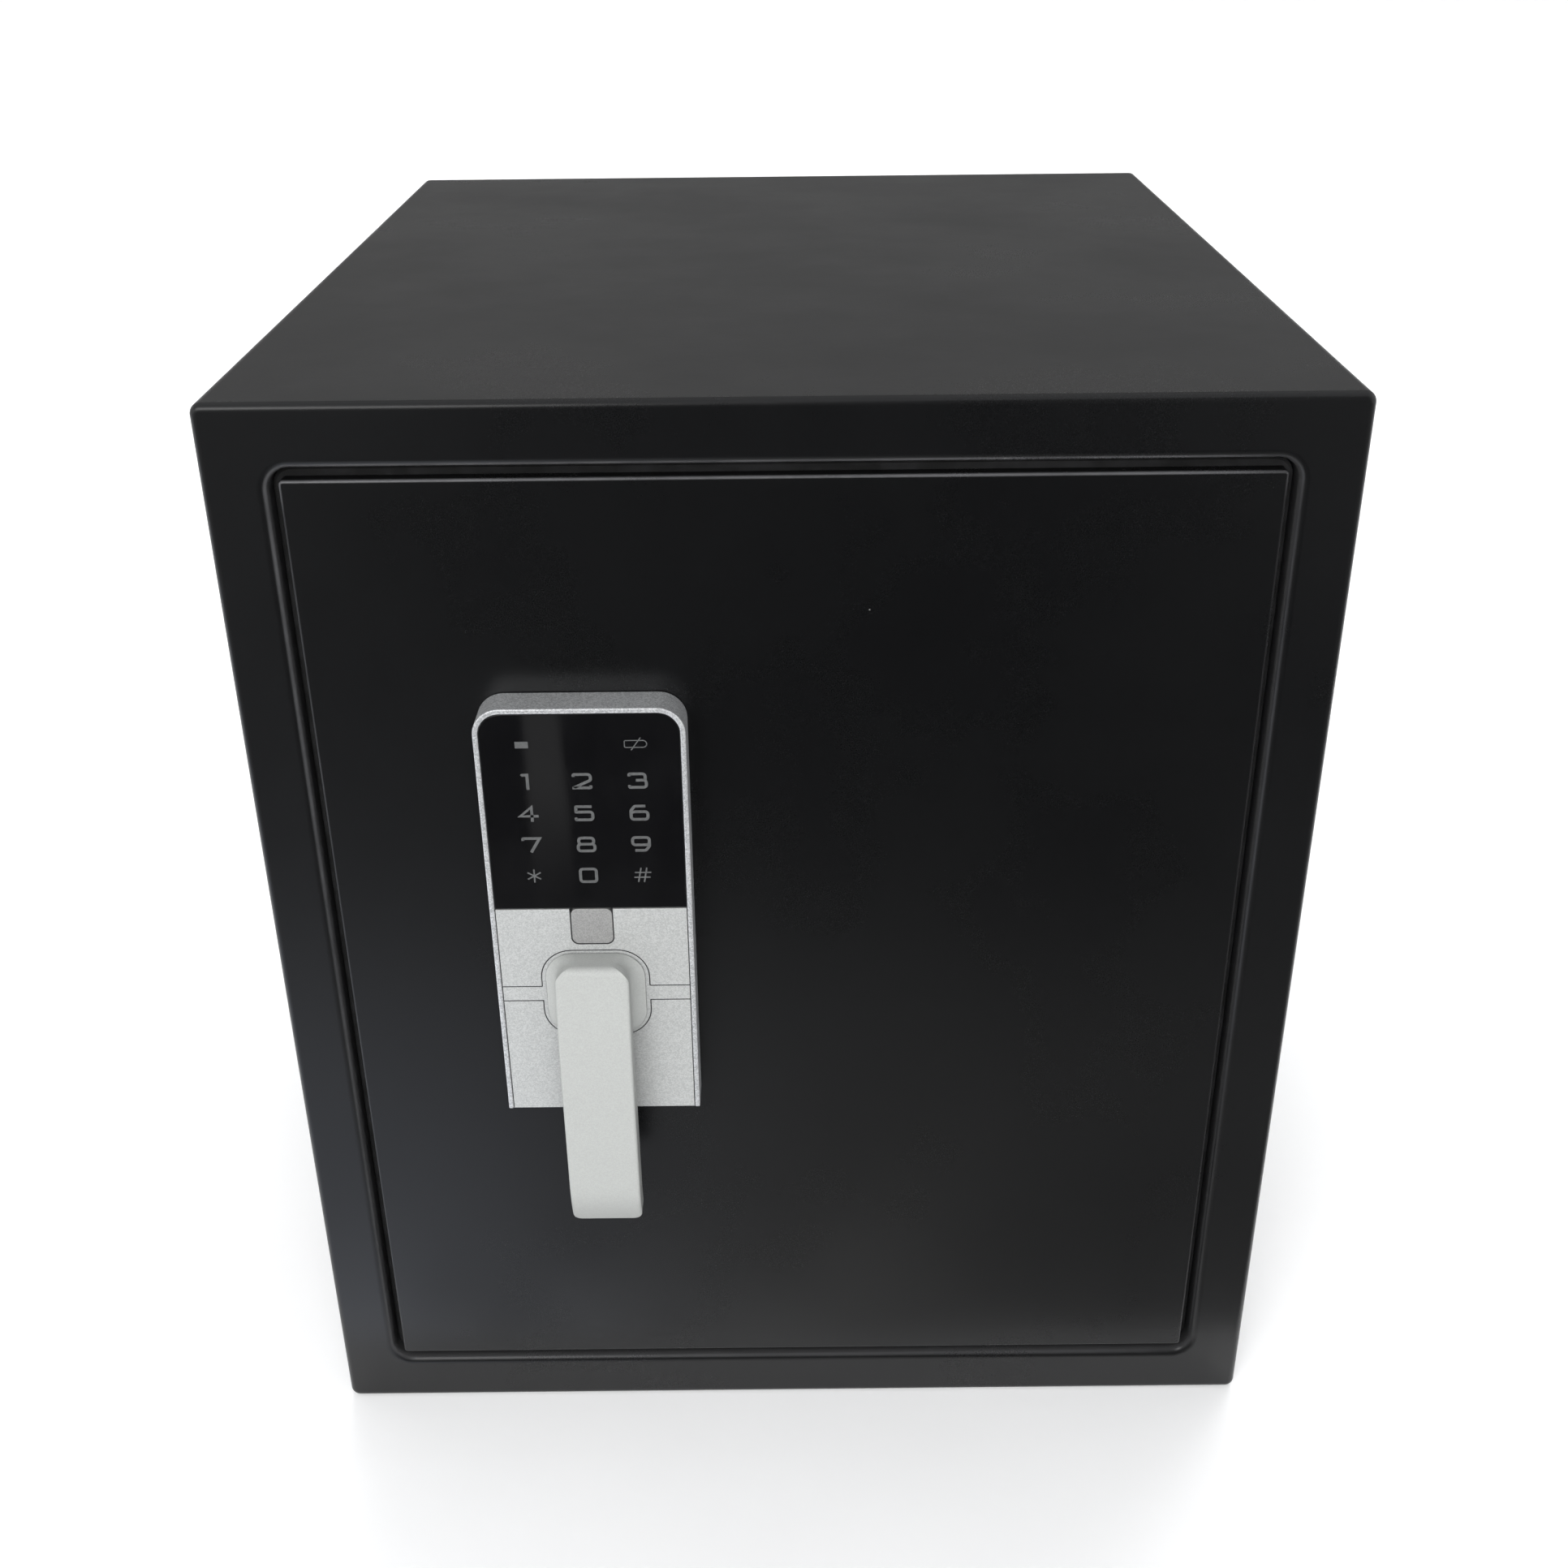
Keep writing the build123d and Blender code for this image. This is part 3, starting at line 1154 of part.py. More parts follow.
def battery_cover():
    """Plastic lid over the battery tray, with a finger recess; it slides down to come off."""
    outer = COVER_BACK + BATTERY_COVER_GAP + BATTERY_COVER_T
    with BuildPart() as lid:
        with BuildSketch(at_depth(outer)):
            with Locations(BATTERY):
                RectangleRounded(TRAY[0] + 2 * LID_LAP, TRAY[1] + 2 * LID_LAP, LID_LAP)
        extrude(amount=BATTERY_COVER_T)
        fillet(lid.faces().sort_by(Axis.Y)[-1].edges(), radius=LID_EDGE_R)
        with BuildSketch(at_depth(outer)):
            with Locations((BATTERY[0], BATTERY[1] + TRAY[1] / 2 - GRIP_DROP)):
                SlotOverall(GRIP[0], GRIP[1])
        extrude(amount=GRIP[2], mode=Mode.SUBTRACT)
    save(lid, "battery_cover")


def reset_bezel():
    """Guide ring of the reset button in the back cover."""
    wide, rim = BEZEL_RIM
    with BuildPart() as bezel:
        with BuildSketch(at_depth(COVER_BACK + rim)):
            with Locations(RESET):
                Circle(RESET_R + wide)
                Circle(RESET_R + RESET_GAP, mode=Mode.SUBTRACT)
        extrude(amount=rim)
        with BuildSketch(at_depth(COVER_BACK)):
            with Locations(RESET):
                Circle(RESET_R + BEZEL_WALL)
                Circle(RESET_R + RESET_GAP, mode=Mode.SUBTRACT)
        extrude(amount=BEZEL_LENGTH)
    save(bezel, "reset_bezel")


def reset_button():
    """Push button that starts a code change."""
    with BuildPart() as button:
        with BuildSketch(at_depth(COVER_BACK + RESET_PROUD)):
            with Locations(RESET):
                Circle(RESET_R)
        extrude(amount=RESET_LENGTH)
        fillet(button.faces().sort_by(Axis.Y)[-1].edges(), radius=RESET_EDGE_R)
    save(button, "reset_button")


def route_cable(points, label):
    """A round cable along straight runs joined by tangent arcs, each as large as its shorter run allows."""
    corners = [Vector(*point) for point in points]
    radii = []
    for before, here, after in zip(corners, corners[1:], corners[2:]):
        turn = radians((here - before).get_angle(after - here))
        shorter = min((here - before).length, (after - here).length)
        radii.append(0.45 * shorter / tan(turn / 2))
    with BuildPart() as tube:
        with BuildLine() as path:
            FilletPolyline(*points, radius=radii)
        with BuildSketch(Plane(origin=path.line @ 0, z_dir=path.line % 0)):
            Circle(CABLE_R)
        sweep()
    save(tube, label)


def keypad_cable():
    """Lead from the keypad board through the door plate to the control board."""
    start = FACIA_BACK + BOARD_T + SOCKET[2]
    board_left = BOARD[0] + CHIPS[0][0] - CHIPS[0][2] / 2
    route_cable(
        [
            (LOCK_X, depth_y(start), CABLE_Z),
            (LOCK_X, depth_y(18), CABLE_Z),
            (-42, depth_y(27), 288),
            (-14, depth_y(30.5), BOARD[1] + 10),
            (board_left, depth_y(30.5), BOARD[1] + 10),
        ],
        "keypad_cable",
    )


def battery_lead():
    """Lead from the battery tray up to the control board."""
    low = BATTERY[1] + TRAY[1] / 2
    chip = CHIPS[2]
    board_x, board_depth = BOARD[0] + chip[0], BOARD_DEPTH - CABLE_R
    route_cable(
        [
            (BATTERY[0] - 8, depth_y(39), low),
            (BATTERY[0] - 8, depth_y(39), low + 18),
            (BATTERY[0] - 14, depth_y(28), low + 42),
            (board_x, depth_y(board_depth), low + 68),
            (board_x, depth_y(board_depth), BOARD[1] + chip[1] - chip[3] / 2),
        ],
        "battery_lead",
    )


front_frame()
cabinet_wrap()
back_panel()
floor_mat()
shelf_rails()
shelf()
for at_top in (True, False):
    hinge_bracket(at_top)
    hinge_pin(at_top)
    hinge_washer(at_top)
    hinge_bush(at_top)
door_plate()
door_pan()
dead_bar()
bolt_guide()
bolt_bushes()
back_cover()
cover_screws()
locking_bolts()
bolt_carrier()
bolt_rivets()
handle_lever()
spindle()
spindle_clip()
spindle_bush()
crank()
lock_housing()
lock_gasket()
keypad_glass()
keypad_board()
upper_plate()
lower_plate()
escutcheon()
key_cover()
lock_screws()
override_cylinder()
override_nut()
override_plug()
override_cam()
solenoid_frame()
solenoid_coil()
blocker_pin()
blocker_spring()
control_board()
board_posts()
battery_tray()
batteries()
battery_cover()
reset_bezel()
reset_button()
keypad_cable()
battery_lead()
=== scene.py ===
"""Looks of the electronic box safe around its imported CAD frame: materials, keypad print, welds and felt.

Everything is in metres, in the frame of the CAD model: +Z up, the door faces -Y.
"""

import json
from math import cos, pi, radians, sin

import bmesh
import bpy
from mathutils import Matrix, Vector, noise

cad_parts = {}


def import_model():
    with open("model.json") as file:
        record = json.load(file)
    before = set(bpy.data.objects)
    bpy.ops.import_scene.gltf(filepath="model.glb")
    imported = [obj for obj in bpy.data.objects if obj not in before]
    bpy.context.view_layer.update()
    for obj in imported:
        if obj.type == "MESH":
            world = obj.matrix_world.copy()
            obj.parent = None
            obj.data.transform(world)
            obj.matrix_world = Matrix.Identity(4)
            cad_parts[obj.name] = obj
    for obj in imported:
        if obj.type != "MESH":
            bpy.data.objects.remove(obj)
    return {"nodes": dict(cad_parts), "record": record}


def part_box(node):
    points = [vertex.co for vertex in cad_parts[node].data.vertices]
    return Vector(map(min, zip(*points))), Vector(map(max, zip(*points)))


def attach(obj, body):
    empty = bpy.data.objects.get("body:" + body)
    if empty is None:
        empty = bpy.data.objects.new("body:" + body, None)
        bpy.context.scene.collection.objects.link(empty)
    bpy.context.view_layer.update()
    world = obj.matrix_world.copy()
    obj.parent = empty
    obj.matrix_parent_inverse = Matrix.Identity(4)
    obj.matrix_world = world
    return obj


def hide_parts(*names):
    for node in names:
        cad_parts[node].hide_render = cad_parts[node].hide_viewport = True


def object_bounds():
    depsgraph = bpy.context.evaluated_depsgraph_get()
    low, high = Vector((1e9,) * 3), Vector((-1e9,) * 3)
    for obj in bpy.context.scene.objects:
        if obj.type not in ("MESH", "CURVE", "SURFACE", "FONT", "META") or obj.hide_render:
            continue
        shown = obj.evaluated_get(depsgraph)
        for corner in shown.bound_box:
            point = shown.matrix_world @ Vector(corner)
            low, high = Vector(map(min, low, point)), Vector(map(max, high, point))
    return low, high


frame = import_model()
cad_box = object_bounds()

MM = 0.001
NODES = frame["nodes"]

# ---------------------------------------------------------------- camera and studio
CAMERA_PLACE = (-0.0008, -0.7154, 0.5427)
CAMERA_TURN = (62.33, 0.53, -0.27)  # degrees about X, Y and Z
LENS = 40.98
SENSOR = 36.0
WORLD_LIGHT = 0.62

# ---------------------------------------------------------------- places on the safe
BOARD_T = 1.6 * MM
DOOR_MIDDLE = 200 * MM  # height of the door's middle
OPENING_HALF = 155.0  # half the opening's width in mm
# outlines in mm along which a painted highlight line runs, and around which the door gap gets its painted
# light and shade:
# half width, half height, corner radius, how far outside the line runs, its width, and its share at the sides
# against the top
OPENING_PAINTED_OUTLINE = (OPENING_HALF, 180.0, 7.0, 0.7, 1.0, 0.8)
DOOR_PAINTED_OUTLINE = (151.5, 176.5, 1.5, -0.4, 0.65, 0.3)
# painted light and shade inside the door gap: the grey painted on the faces there, and how much of their
# shine is left
CABINET_GAP_PAINTED_TONE = (0.03, 0.4)
DOOR_GAP_PAINTED_TONE = (0.004, 0.15)
# layers of the seal in mm: width, thickness, and how far its back lies from the back of the lowest layer
SEAL_LAYERS = ((6.0, 1.1, 0.0), (5.2, 0.6, 1.0), (4.4, 0.5, 1.5))
SEAL_DEPTH = 2.3
ANCHORS = (220 * MM, 200 * MM)  # spacing of the mat's holes
MAT_HOLE = 8 * MM
MAT_STEP = 3.5 * MM
FLOOR_FLAT = 3.4  # radius of the flat part of the studio floor
SWEEP = 1.2  # radius of the curve from the floor to the wall
WALL_TOP = 4.0
# how bright the mirrored floor is by its distance before the safe, in metres
CARD_TONES = (
    (0.0, 1.0), (0.03, 0.86), (0.08, 0.62), (0.13, 0.60), (0.24, 0.45),
    (0.31, 0.26), (0.37, 0.08), (0.46, 0.04), (0.70, 0.025), (1.0, 0.02),
)
STREAK = 0.34  # brightness of the pale streak that the glass mirrors
BACK_CARD = 0.275  # brightness of the card that the cabinet's top mirrors


# ================================================================ materials
class Nodes:
    """One material, with short calls that add shader nodes and join them."""

    def __init__(self, name):
        self.material = bpy.data.materials.new(name)
        self.material.use_nodes = True
        self.tree = self.material.node_tree
        self.shader = self.tree.nodes["Principled BSDF"]
        self.place = self.add("ShaderNodeTexCoord").outputs["Object"]

    def add(self, kind, **settings):
        node = self.tree.nodes.new(kind)
        for key, value in settings.items():
            setattr(node, key, value)
        return node

    def feed(self, socket, value):
        """Joins an output to a socket, or sets the socket to a number or a colour."""
        if isinstance(value, bpy.types.NodeSocket):
            self.tree.links.new(value, socket)
        else:
            socket.default_value = value

    def set(self, **values):
        """Sets inputs of the main shader by name, with _ for a space."""
        for key, value in values.items():
            socket = self.shader.inputs[key.replace("_", " ")]
            if isinstance(value, tuple) and len(value) == 3:
                value = (*value, 1.0)
            self.feed(socket, value)

    def math(self, operation, a, b=0.0, clamp=False):
        node = self.add("ShaderNodeMath", operation=operation, use_clamp=clamp)
        self.feed(node.inputs[0], a)
        self.feed(node.inputs[1], b)
        return node.outputs[0]

    def stretched(self, scale):
        """The place in the object's frame, scaled along each axis."""
        node = self.add("ShaderNodeMapping")
        self.feed(node.inputs["Vector"], self.place)
        node.inputs["Scale"].default_value = scale
        return node.outputs[0]

    def noise(self, scale, detail=3.0, rough=0.5, where=None):
        node = self.add("ShaderNodeTexNoise")
        self.feed(node.inputs["Vector"], where or self.place)
        node.inputs["Scale"].default_value = scale
        node.inputs["Detail"].default_value = detail
        node.inputs["Roughness"].default_value = rough
        return node.outputs["Fac"]

    def cells(self, scale, output="Color", where=None):
        """One random value a cell, or the distance from the cell's middle."""
        node = self.add("ShaderNodeTexVoronoi")
        self.feed(node.inputs["Vector"], where or self.place)
        node.inputs["Scale"].default_value = scale
        if output == "Distance":
            return node.outputs["Distance"]
        split = self.add("ShaderNodeSeparateColor")
        self.feed(split.inputs[0], node.outputs["Color"])
        return split.outputs[0]

    def wave(self, scale, direction, distortion=0.0):
        node = self.add("ShaderNodeTexWave", bands_direction=direction)
        self.feed(node.inputs["Vector"], self.place)
        node.inputs["Scale"].default_value = scale
        node.inputs["Distortion"].default_value = distortion
        node.inputs["Detail"].default_value = 2.0
        return node.outputs["Fac"]

    def axis(self, letter):
        """One coordinate of the place."""
        split = self.add("ShaderNodeSeparateXYZ")
        self.feed(split.inputs[0], self.place)
        return split.outputs[letter]

    def span(self, value, low, high, start=0.0, end=1.0):
        """Maps low..high to start..end, smoothly and clamped."""
        node = self.add("ShaderNodeMapRange", interpolation_type="SMOOTHSTEP")
        self.feed(node.inputs["Value"], value)
        for key, number in (("From Min", low), ("From Max", high), ("To Min", start), ("To Max", end)):
            node.inputs[key].default_value = number
        return node.outputs["Result"]

    def mix(self, share, a, b):
        node = self.add("ShaderNodeMix", data_type="RGBA")
        self.feed(node.inputs["Factor"], share)
        self.feed(node.inputs[6], (*a, 1.0) if isinstance(a, tuple) else a)
        self.feed(node.inputs[7], (*b, 1.0) if isinstance(b, tuple) else b)
        return node.outputs[2]

    def edges(self, radius, low=0.02, high=0.22):
        """1 along sharp outer edges, 0 on flat faces."""
        bevel = self.add("ShaderNodeBevel", samples=4)
        bevel.inputs["Radius"].default_value = radius
        flat = self.add("ShaderNodeNewGeometry").outputs["Normal"]
        dot = self.add("ShaderNodeVectorMath", operation="DOT_PRODUCT")
        self.feed(dot.inputs[0], bevel.outputs[0])
        self.feed(dot.inputs[1], flat)
        return self.span(self.math("SUBTRACT", 1.0, dot.outputs["Value"]), low, high)

    def relief(self, height, distance, strength=1.0, soften=None):
        """Bump from a height, over edges softened by the given radius."""
        node = self.add("ShaderNodeBump")
        self.feed(node.inputs["Height"], height)
        node.inputs["Distance"].default_value = distance
        node.inputs["Strength"].default_value = strength
        if soften:
            bevel = self.add("ShaderNodeBevel", samples=4)
            bevel.inputs["Radius"].default_value = soften
            self.feed(node.inputs["Normal"], bevel.outputs[0])
        self.feed(self.shader.inputs["Normal"], node.outputs[0])


def outline_distance(m, half_x, half_z, corner):
    """How far outside a rounded rectangle round the door's middle a place is in the front view, in mm."""
    sides = []
    for letter, middle, half in (("X", 0.0, half_x), ("Z", DOOR_MIDDLE, half_z)):
        off = m.math("ABSOLUTE", m.math("SUBTRACT", m.axis(letter), middle))
        sides.append(m.math("SUBTRACT", m.math("MULTIPLY", off, 1000.0), half - corner))
    squares = [m.math("POWER", m.math("MAXIMUM", side, 0.0), 2.0) for side in sides]
    outer = m.math("SQRT", m.math("ADD", *squares))
    inner = m.math("MINIMUM", m.math("MAXIMUM", *sides), 0.0)
    return m.math("SUBTRACT", m.math("ADD", outer, inner), corner)


def powder_coat(name, colour, worn_and_highlight, gloss, painted_outline, painted_shading):
    """Fine-textured black powder coat with dust, faint clouds and edges worn grey, a painted highlight line
    and painted shade in the door gap.

    bend is an outline in the front view along which a painted highlight line runs, strongest at the top and
    fading downwards and on the right, as in OPENING_PAINTED_OUTLINE.
    grime is the painted light and shade of the faces inside the door gap: their grey and how much shine is
    left, as in CABINET_GAP_PAINTED_TONE.
    """
    m = Nodes(name)
    clouds = m.noise(9.0, 4.0, 0.6)
    grain = m.noise(1900.0, 2.0)
    peel = m.noise(260.0, 2.0)
    seeds = m.cells(75.0)
    dust = m.math(
        "MULTIPLY",
        m.span(m.cells(75.0, "Distance"), 0.018, 0.03, 1.0, 0.0),
        m.span(seeds, 0.93, 0.95),
    )
    wear = m.math("MULTIPLY", m.edges(0.9 * MM), m.span(m.noise(70.0, 5.0, 0.7), 0.5, 0.72))
    shade = m.mix(clouds, tuple(0.82 * c for c in colour), tuple(1.2 * c for c in colour))
    shade = m.mix(m.math("MULTIPLY", wear, 0.55), shade, worn_and_highlight)
    half_x, half_z, corner, outside, width, sides = painted_outline
    distance = outline_distance(m, half_x, half_z, corner)
    # painted light and shade: faces inside the door gap get a painted grey and lose most of their shine
    gap = m.span(m.math("ABSOLUTE", distance), 0.3, 0.6, 1.0, 0.0)
    gap = m.math("MULTIPLY", gap, m.span(m.axis("Y"), -0.1993, -0.1985))
    # painted highlight: a lighter line along the outline, standing in for the key light caught by the bend
    line = m.math("ABSOLUTE", m.math("SUBTRACT", distance, outside))
    line = m.span(line, 0.15 * width, width, 1.0, 0.0)
    line = m.math("MULTIPLY", line, m.span(m.axis("Y"), -0.1965, -0.1985))
    along = m.span(m.axis("Z"), 0.366, 0.374, sides, 1.0)
    along = m.math("MULTIPLY", along, m.span(m.noise(30.0, 4.0, 0.6), 0.3, 0.6, 0.6, 1.0))
    along = m.math("MULTIPLY", along, m.span(m.axis("Z"), 0.06, 0.30, 0.35, 1.0))
    along = m.math("MULTIPLY", along, m.span(m.axis("X"), 0.12, 0.16, 1.0, 0.25))
    shade = m.mix(m.math("MULTIPLY", line, along), shade, tuple(1.6 * c for c in worn_and_highlight))
    shade = m.mix(gap, shade, (painted_shading[0], painted_shading[0], 1.03 * painted_shading[0]))
    shade = m.mix(m.math("MULTIPLY", dust, 0.6), shade, (0.25, 0.25, 0.24))
    rough = m.span(clouds, 0.3, 0.7, gloss - 0.03, gloss + 0.04)
    rough = m.math("ADD", rough, m.math("MULTIPLY", grain, 0.05))
    rough = m.math("SUBTRACT", rough, m.math("MULTIPLY", wear, 0.08))
    height = m.math("ADD", m.math("MULTIPLY", grain, 0.35), peel)
    m.set(Base_Color=shade, Roughness=rough, Specular_IOR_Level=m.span(gap, 0.0, 1.0, 0.5, 0.5 * painted_shading[1]))
    m.relief(height, 0.00004, 0.35, soften=0.35 * MM)
    return m.material


def metallic_paint(name, light, dark, gloss, metal, fleck=1500.0, handled=None):
    """Silver paint with aluminium flecks that catch the light; given a handled node, its lower end is
    darkened as painted shade of the tip that curls back.
    """
    m = Nodes(name)
    flecks = m.cells(fleck)
    fine = m.cells(fleck * 2.3)
    clouds = m.noise(22.0, 3.0)
    wear = m.math("MULTIPLY", m.edges(0.5 * MM), m.span(m.noise(120.0, 4.0, 0.7), 0.45, 0.7))
    sparkle = m.math("ADD", m.math("MULTIPLY", flecks, 0.6), m.math("MULTIPLY", fine, 0.4))
    shade = m.mix(m.span(sparkle, 0.1, 0.9), dark, light)
    shade = m.mix(m.math("MULTIPLY", wear, 0.5), shade, (0.78, 0.79, 0.79))
    # painted shade: the lowest 17 mm of the handled node darken, for the tip that curls back from the light
    if handled:
        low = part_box(handled)[0].z
        tip = m.span(m.axis("Z"), low, low + 17 * MM, 1.0, 0.0)
        painted_shading = m.math("MULTIPLY", tip, m.span(fine, 0.0, 1.0, 0.75, 1.0))
        shade = m.mix(m.math("MULTIPLY", painted_shading, 0.32), shade, (0.10, 0.10, 0.098))
    rough = m.span(clouds, 0.3, 0.7, gloss - 0.02, gloss + 0.03)
    rough = m.math("ADD", rough, m.math("MULTIPLY", flecks, 0.06))
    m.set(Base_Color=shade, Roughness=rough, Metallic=metal)
    height = m.math("ADD", m.noise(2600.0, 2.0), m.math("MULTIPLY", fine, 0.6))
    m.relief(height, 0.00003, 0.5, soften=0.25 * MM)
    return m.material


def plated(name, tint, stain, gloss):
    """Zinc plating: bluish metal with a fine grain and faint straw-coloured stains."""
    m = Nodes(name)
    clouds = m.noise(55.0, 5.0, 0.65)
    grain = m.noise(1400.0, 3.0)
    shade = m.mix(m.span(clouds, 0.42, 0.75), tint, stain)
    shade = m.mix(m.math("MULTIPLY", m.cells(260.0), 0.12), shade, (0.8, 0.82, 0.86))
    m.set(Base_Color=shade, Metallic=1.0, Roughness=m.span(grain, 0.25, 0.75, gloss - 0.06, gloss + 0.09))
    m.relief(grain, 0.00002, 0.5, soften=0.2 * MM)
    return m.material


def turned(name, tint, gloss, axis, pitch=2600.0):
    """Turned or ground metal with fine lines across the given axis and a few deeper scores."""
    m = Nodes(name)
    lines = m.wave(pitch, axis, 1.5)
    scale = {"X": (1.0, 0.03, 0.03), "Y": (0.03, 1.0, 0.03), "Z": (0.03, 0.03, 1.0)}[axis]
    scores = m.noise(2600.0, 3.0, 0.7, where=m.stretched(scale))
    clouds = m.noise(45.0, 4.0)
    shade = m.mix(m.span(clouds, 0.35, 0.75), tint, tuple(0.72 * c for c in tint))
    shade = m.mix(m.math("MULTIPLY", m.span(scores, 0.55, 0.8), 0.3), shade, tuple(0.5 * c for c in tint))
    m.set(Base_Color=shade, Metallic=1.0, Roughness=m.span(scores, 0.3, 0.8, gloss, gloss + 0.14))
    m.relief(m.math("ADD", m.math("MULTIPLY", lines, 0.4), scores), 0.000012, 0.6, soften=0.2 * MM)
    return m.material


def moulded(name, colour, gloss, glow=0.0):
    """Moulded plastic with spark-eroded texture, polished a little where it is handled."""
    m = Nodes(name)
    pits = m.cells(1700.0, "Distance")
    clouds = m.noise(40.0, 4.0)
    handled = m.edges(0.6 * MM)
    shade = m.mix(clouds, tuple(0.85 * c for c in colour), tuple(1.18 * c for c in colour))
    shade = m.mix(m.math("MULTIPLY", handled, 0.25), shade, tuple(min(1.0, 1.7 * c + 0.02) for c in colour))
    rough = m.span(clouds, 0.3, 0.7, gloss, gloss + 0.1)
    rough = m.math("SUBTRACT", rough, m.math("MULTIPLY", handled, 0.12))
    m.set(Base_Color=shade, Roughness=rough, Subsurface_Weight=glow, Subsurface_Scale=0.002)
    m.relief(pits, 0.00003, 0.4, soften=0.3 * MM)
    return m.material


def keypad_glass():
    """Black printed glass: almost a mirror, with faint smears and hairline scratches."""
    m = Nodes("black_glass")
    smears = m.noise(38.0, 5.0, 0.62, where=m.stretched((1.0, 1.0, 0.45)))
    scratch = m.noise(900.0, 2.0, 0.6, where=m.stretched((1.0, 1.0, 0.02)))
    shade = m.mix(m.span(smears, 0.4, 0.75), (0.0024, 0.0024, 0.0028), (0.0042, 0.0042, 0.0046))
    rough = m.math("ADD", m.span(smears, 0.45, 0.72, 0.03, 0.075), m.span(scratch, 0.68, 0.8, 0.0, 0.06))
    m.set(Base_Color=shade, Roughness=rough)
    m.relief(scratch, 0.000003, 0.15, soften=0.25 * MM)
    return m.material


def printed_ink():
    """Grey screen print, slightly mottled by the mesh that it was printed through."""
    m = Nodes("keypad_ink")
    mesh = m.cells(2600.0)
    patches = m.noise(420.0, 3.0)
    worn = m.math("MULTIPLY", mesh, m.span(patches, 0.3, 0.7, 0.5, 1.0))
    shade = m.mix(worn, (0.085, 0.087, 0.087), (0.048, 0.050, 0.051))
    m.set(Base_Color=shade, Roughness=m.span(patches, 0.3, 0.7, 0.4, 0.55))
    m.relief(mesh, 0.00001, 0.4)
    return m.material


def felt():
    """Pressed grey felt: matted fibres with a few light ones, and a soft sheen."""
    m = Nodes("felt")
    long_way = m.noise(1500.0, 6.0, 0.75, where=m.stretched((1.0, 0.16, 1.0)))
    across = m.noise(1500.0, 6.0, 0.75, where=m.stretched((0.16, 1.0, 1.0)))
    clumps = m.noise(95.0, 4.0, 0.6)
    fibres = m.math("MAXIMUM", long_way, across)
    shade = m.mix(m.span(fibres, 0.42, 0.75), (0.022, 0.022, 0.025), (0.085, 0.085, 0.09))
    shade = m.mix(m.math("MULTIPLY", m.span(fibres, 0.74, 0.8), 0.6), shade, (0.30, 0.30, 0.31))
    shade = m.mix(m.span(clumps, 0.45, 0.8, 0.0, 0.45), shade, (0.03, 0.03, 0.034))
    m.set(Base_Color=shade, Roughness=m.span(fibres, 0.3, 0.8, 0.86, 0.98), Sheen_Weight=0.25)
    m.shader.inputs["Sheen Roughness"].default_value = 0.5
    m.relief(m.math("ADD", fibres, clumps), 0.0005, 0.8)
    return m.material


def circuit_board(name, node, face):
    """Green solder mask over copper tracks, tinned pads, and black parts on the side facing the given way."""
    m = Nodes(name)
    low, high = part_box(node)
    ways = m.math("MAXIMUM", m.wave(150.0, "X", 1.2), m.wave(130.0, "Z", 1.6))
    tracks = m.span(ways, 0.72, 0.8)
    pads = m.span(m.cells(330.0, "Distance"), 0.16, 0.2, 1.0, 0.0)
    pads = m.math("MULTIPLY", pads, m.span(m.cells(330.0), 0.75, 0.8))
    board = high.y - BOARD_T if face < 0 else low.y + BOARD_T
    raised = m.span(m.axis("Y"), board, board + face * 0.1 * MM)
    resin = m.mix(m.noise(900.0), (0.008, 0.008, 0.009), (0.02, 0.02, 0.021))
    shade = m.mix(tracks, (0.008, 0.075, 0.03), (0.02, 0.15, 0.06))
    shade = m.mix(pads, shade, (0.55, 0.55, 0.52))
    shade = m.mix(raised, shade, resin)
    metal = m.math("MULTIPLY", pads, m.math("SUBTRACT", 0.9, raised, clamp=True))
    m.set(Base_Color=shade, Roughness=m.span(m.noise(300.0), 0.3, 0.7, 0.28, 0.4), Metallic=metal)
    m.relief(m.math("ADD", tracks, pads), 0.00003, 0.6, soften=0.15 * MM)
    return m.material


def foam():
    """Closed-cell foam with open cells along its cut edge."""
    m = Nodes("foam")
    bubbles = m.cells(1300.0, "Distance")
    shade = m.mix(m.span(bubbles, 0.2, 0.6), (0.012, 0.012, 0.012), (0.035, 0.035, 0.036))
    m.set(Base_Color=shade, Roughness=m.span(bubbles, 0.1, 0.6, 0.8, 0.95))
    m.relief(bubbles, 0.0002, 0.8)
    return m.material


def rubber():
    """Grey-black seal rubber with bloom and lint on it."""
    m = Nodes("seal_rubber")
    bloom = m.noise(120.0, 5.0, 0.65)
    lint = m.span(m.cells(420.0, "Distance"), 0.03, 0.06, 0.35, 0.0)
    shade = m.mix(m.span(bloom, 0.35, 0.7), (0.008, 0.008, 0.008), (0.014, 0.014, 0.0145))
    shade = m.mix(lint, shade, (0.04, 0.04, 0.04))
    m.set(Base_Color=shade, Roughness=m.span(bloom, 0.3, 0.7, 0.7, 0.9))
    m.shader.inputs["Specular IOR Level"].default_value = 0.12
    m.relief(bloom, 0.00008, 0.5, soften=0.3 * MM)
    return m.material


def winding():
    """Enamelled copper wire, laid turn by turn, under a clear varnish."""
    m = Nodes("copper")
    turns = m.wave(800.0, "Z", 0.4)
    shade = m.mix(turns, (0.22, 0.075, 0.022), (0.62, 0.27, 0.11))
    shade = m.mix(m.span(m.noise(160.0), 0.5, 0.8, 0.0, 0.35), shade, (0.3, 0.12, 0.05))
    m.set(Base_Color=shade, Metallic=0.85, Roughness=m.span(turns, 0.0, 1.0, 0.42, 0.26), Coat_Weight=0.5)
    m.relief(turns, 0.0002, 0.7)
    return m.material


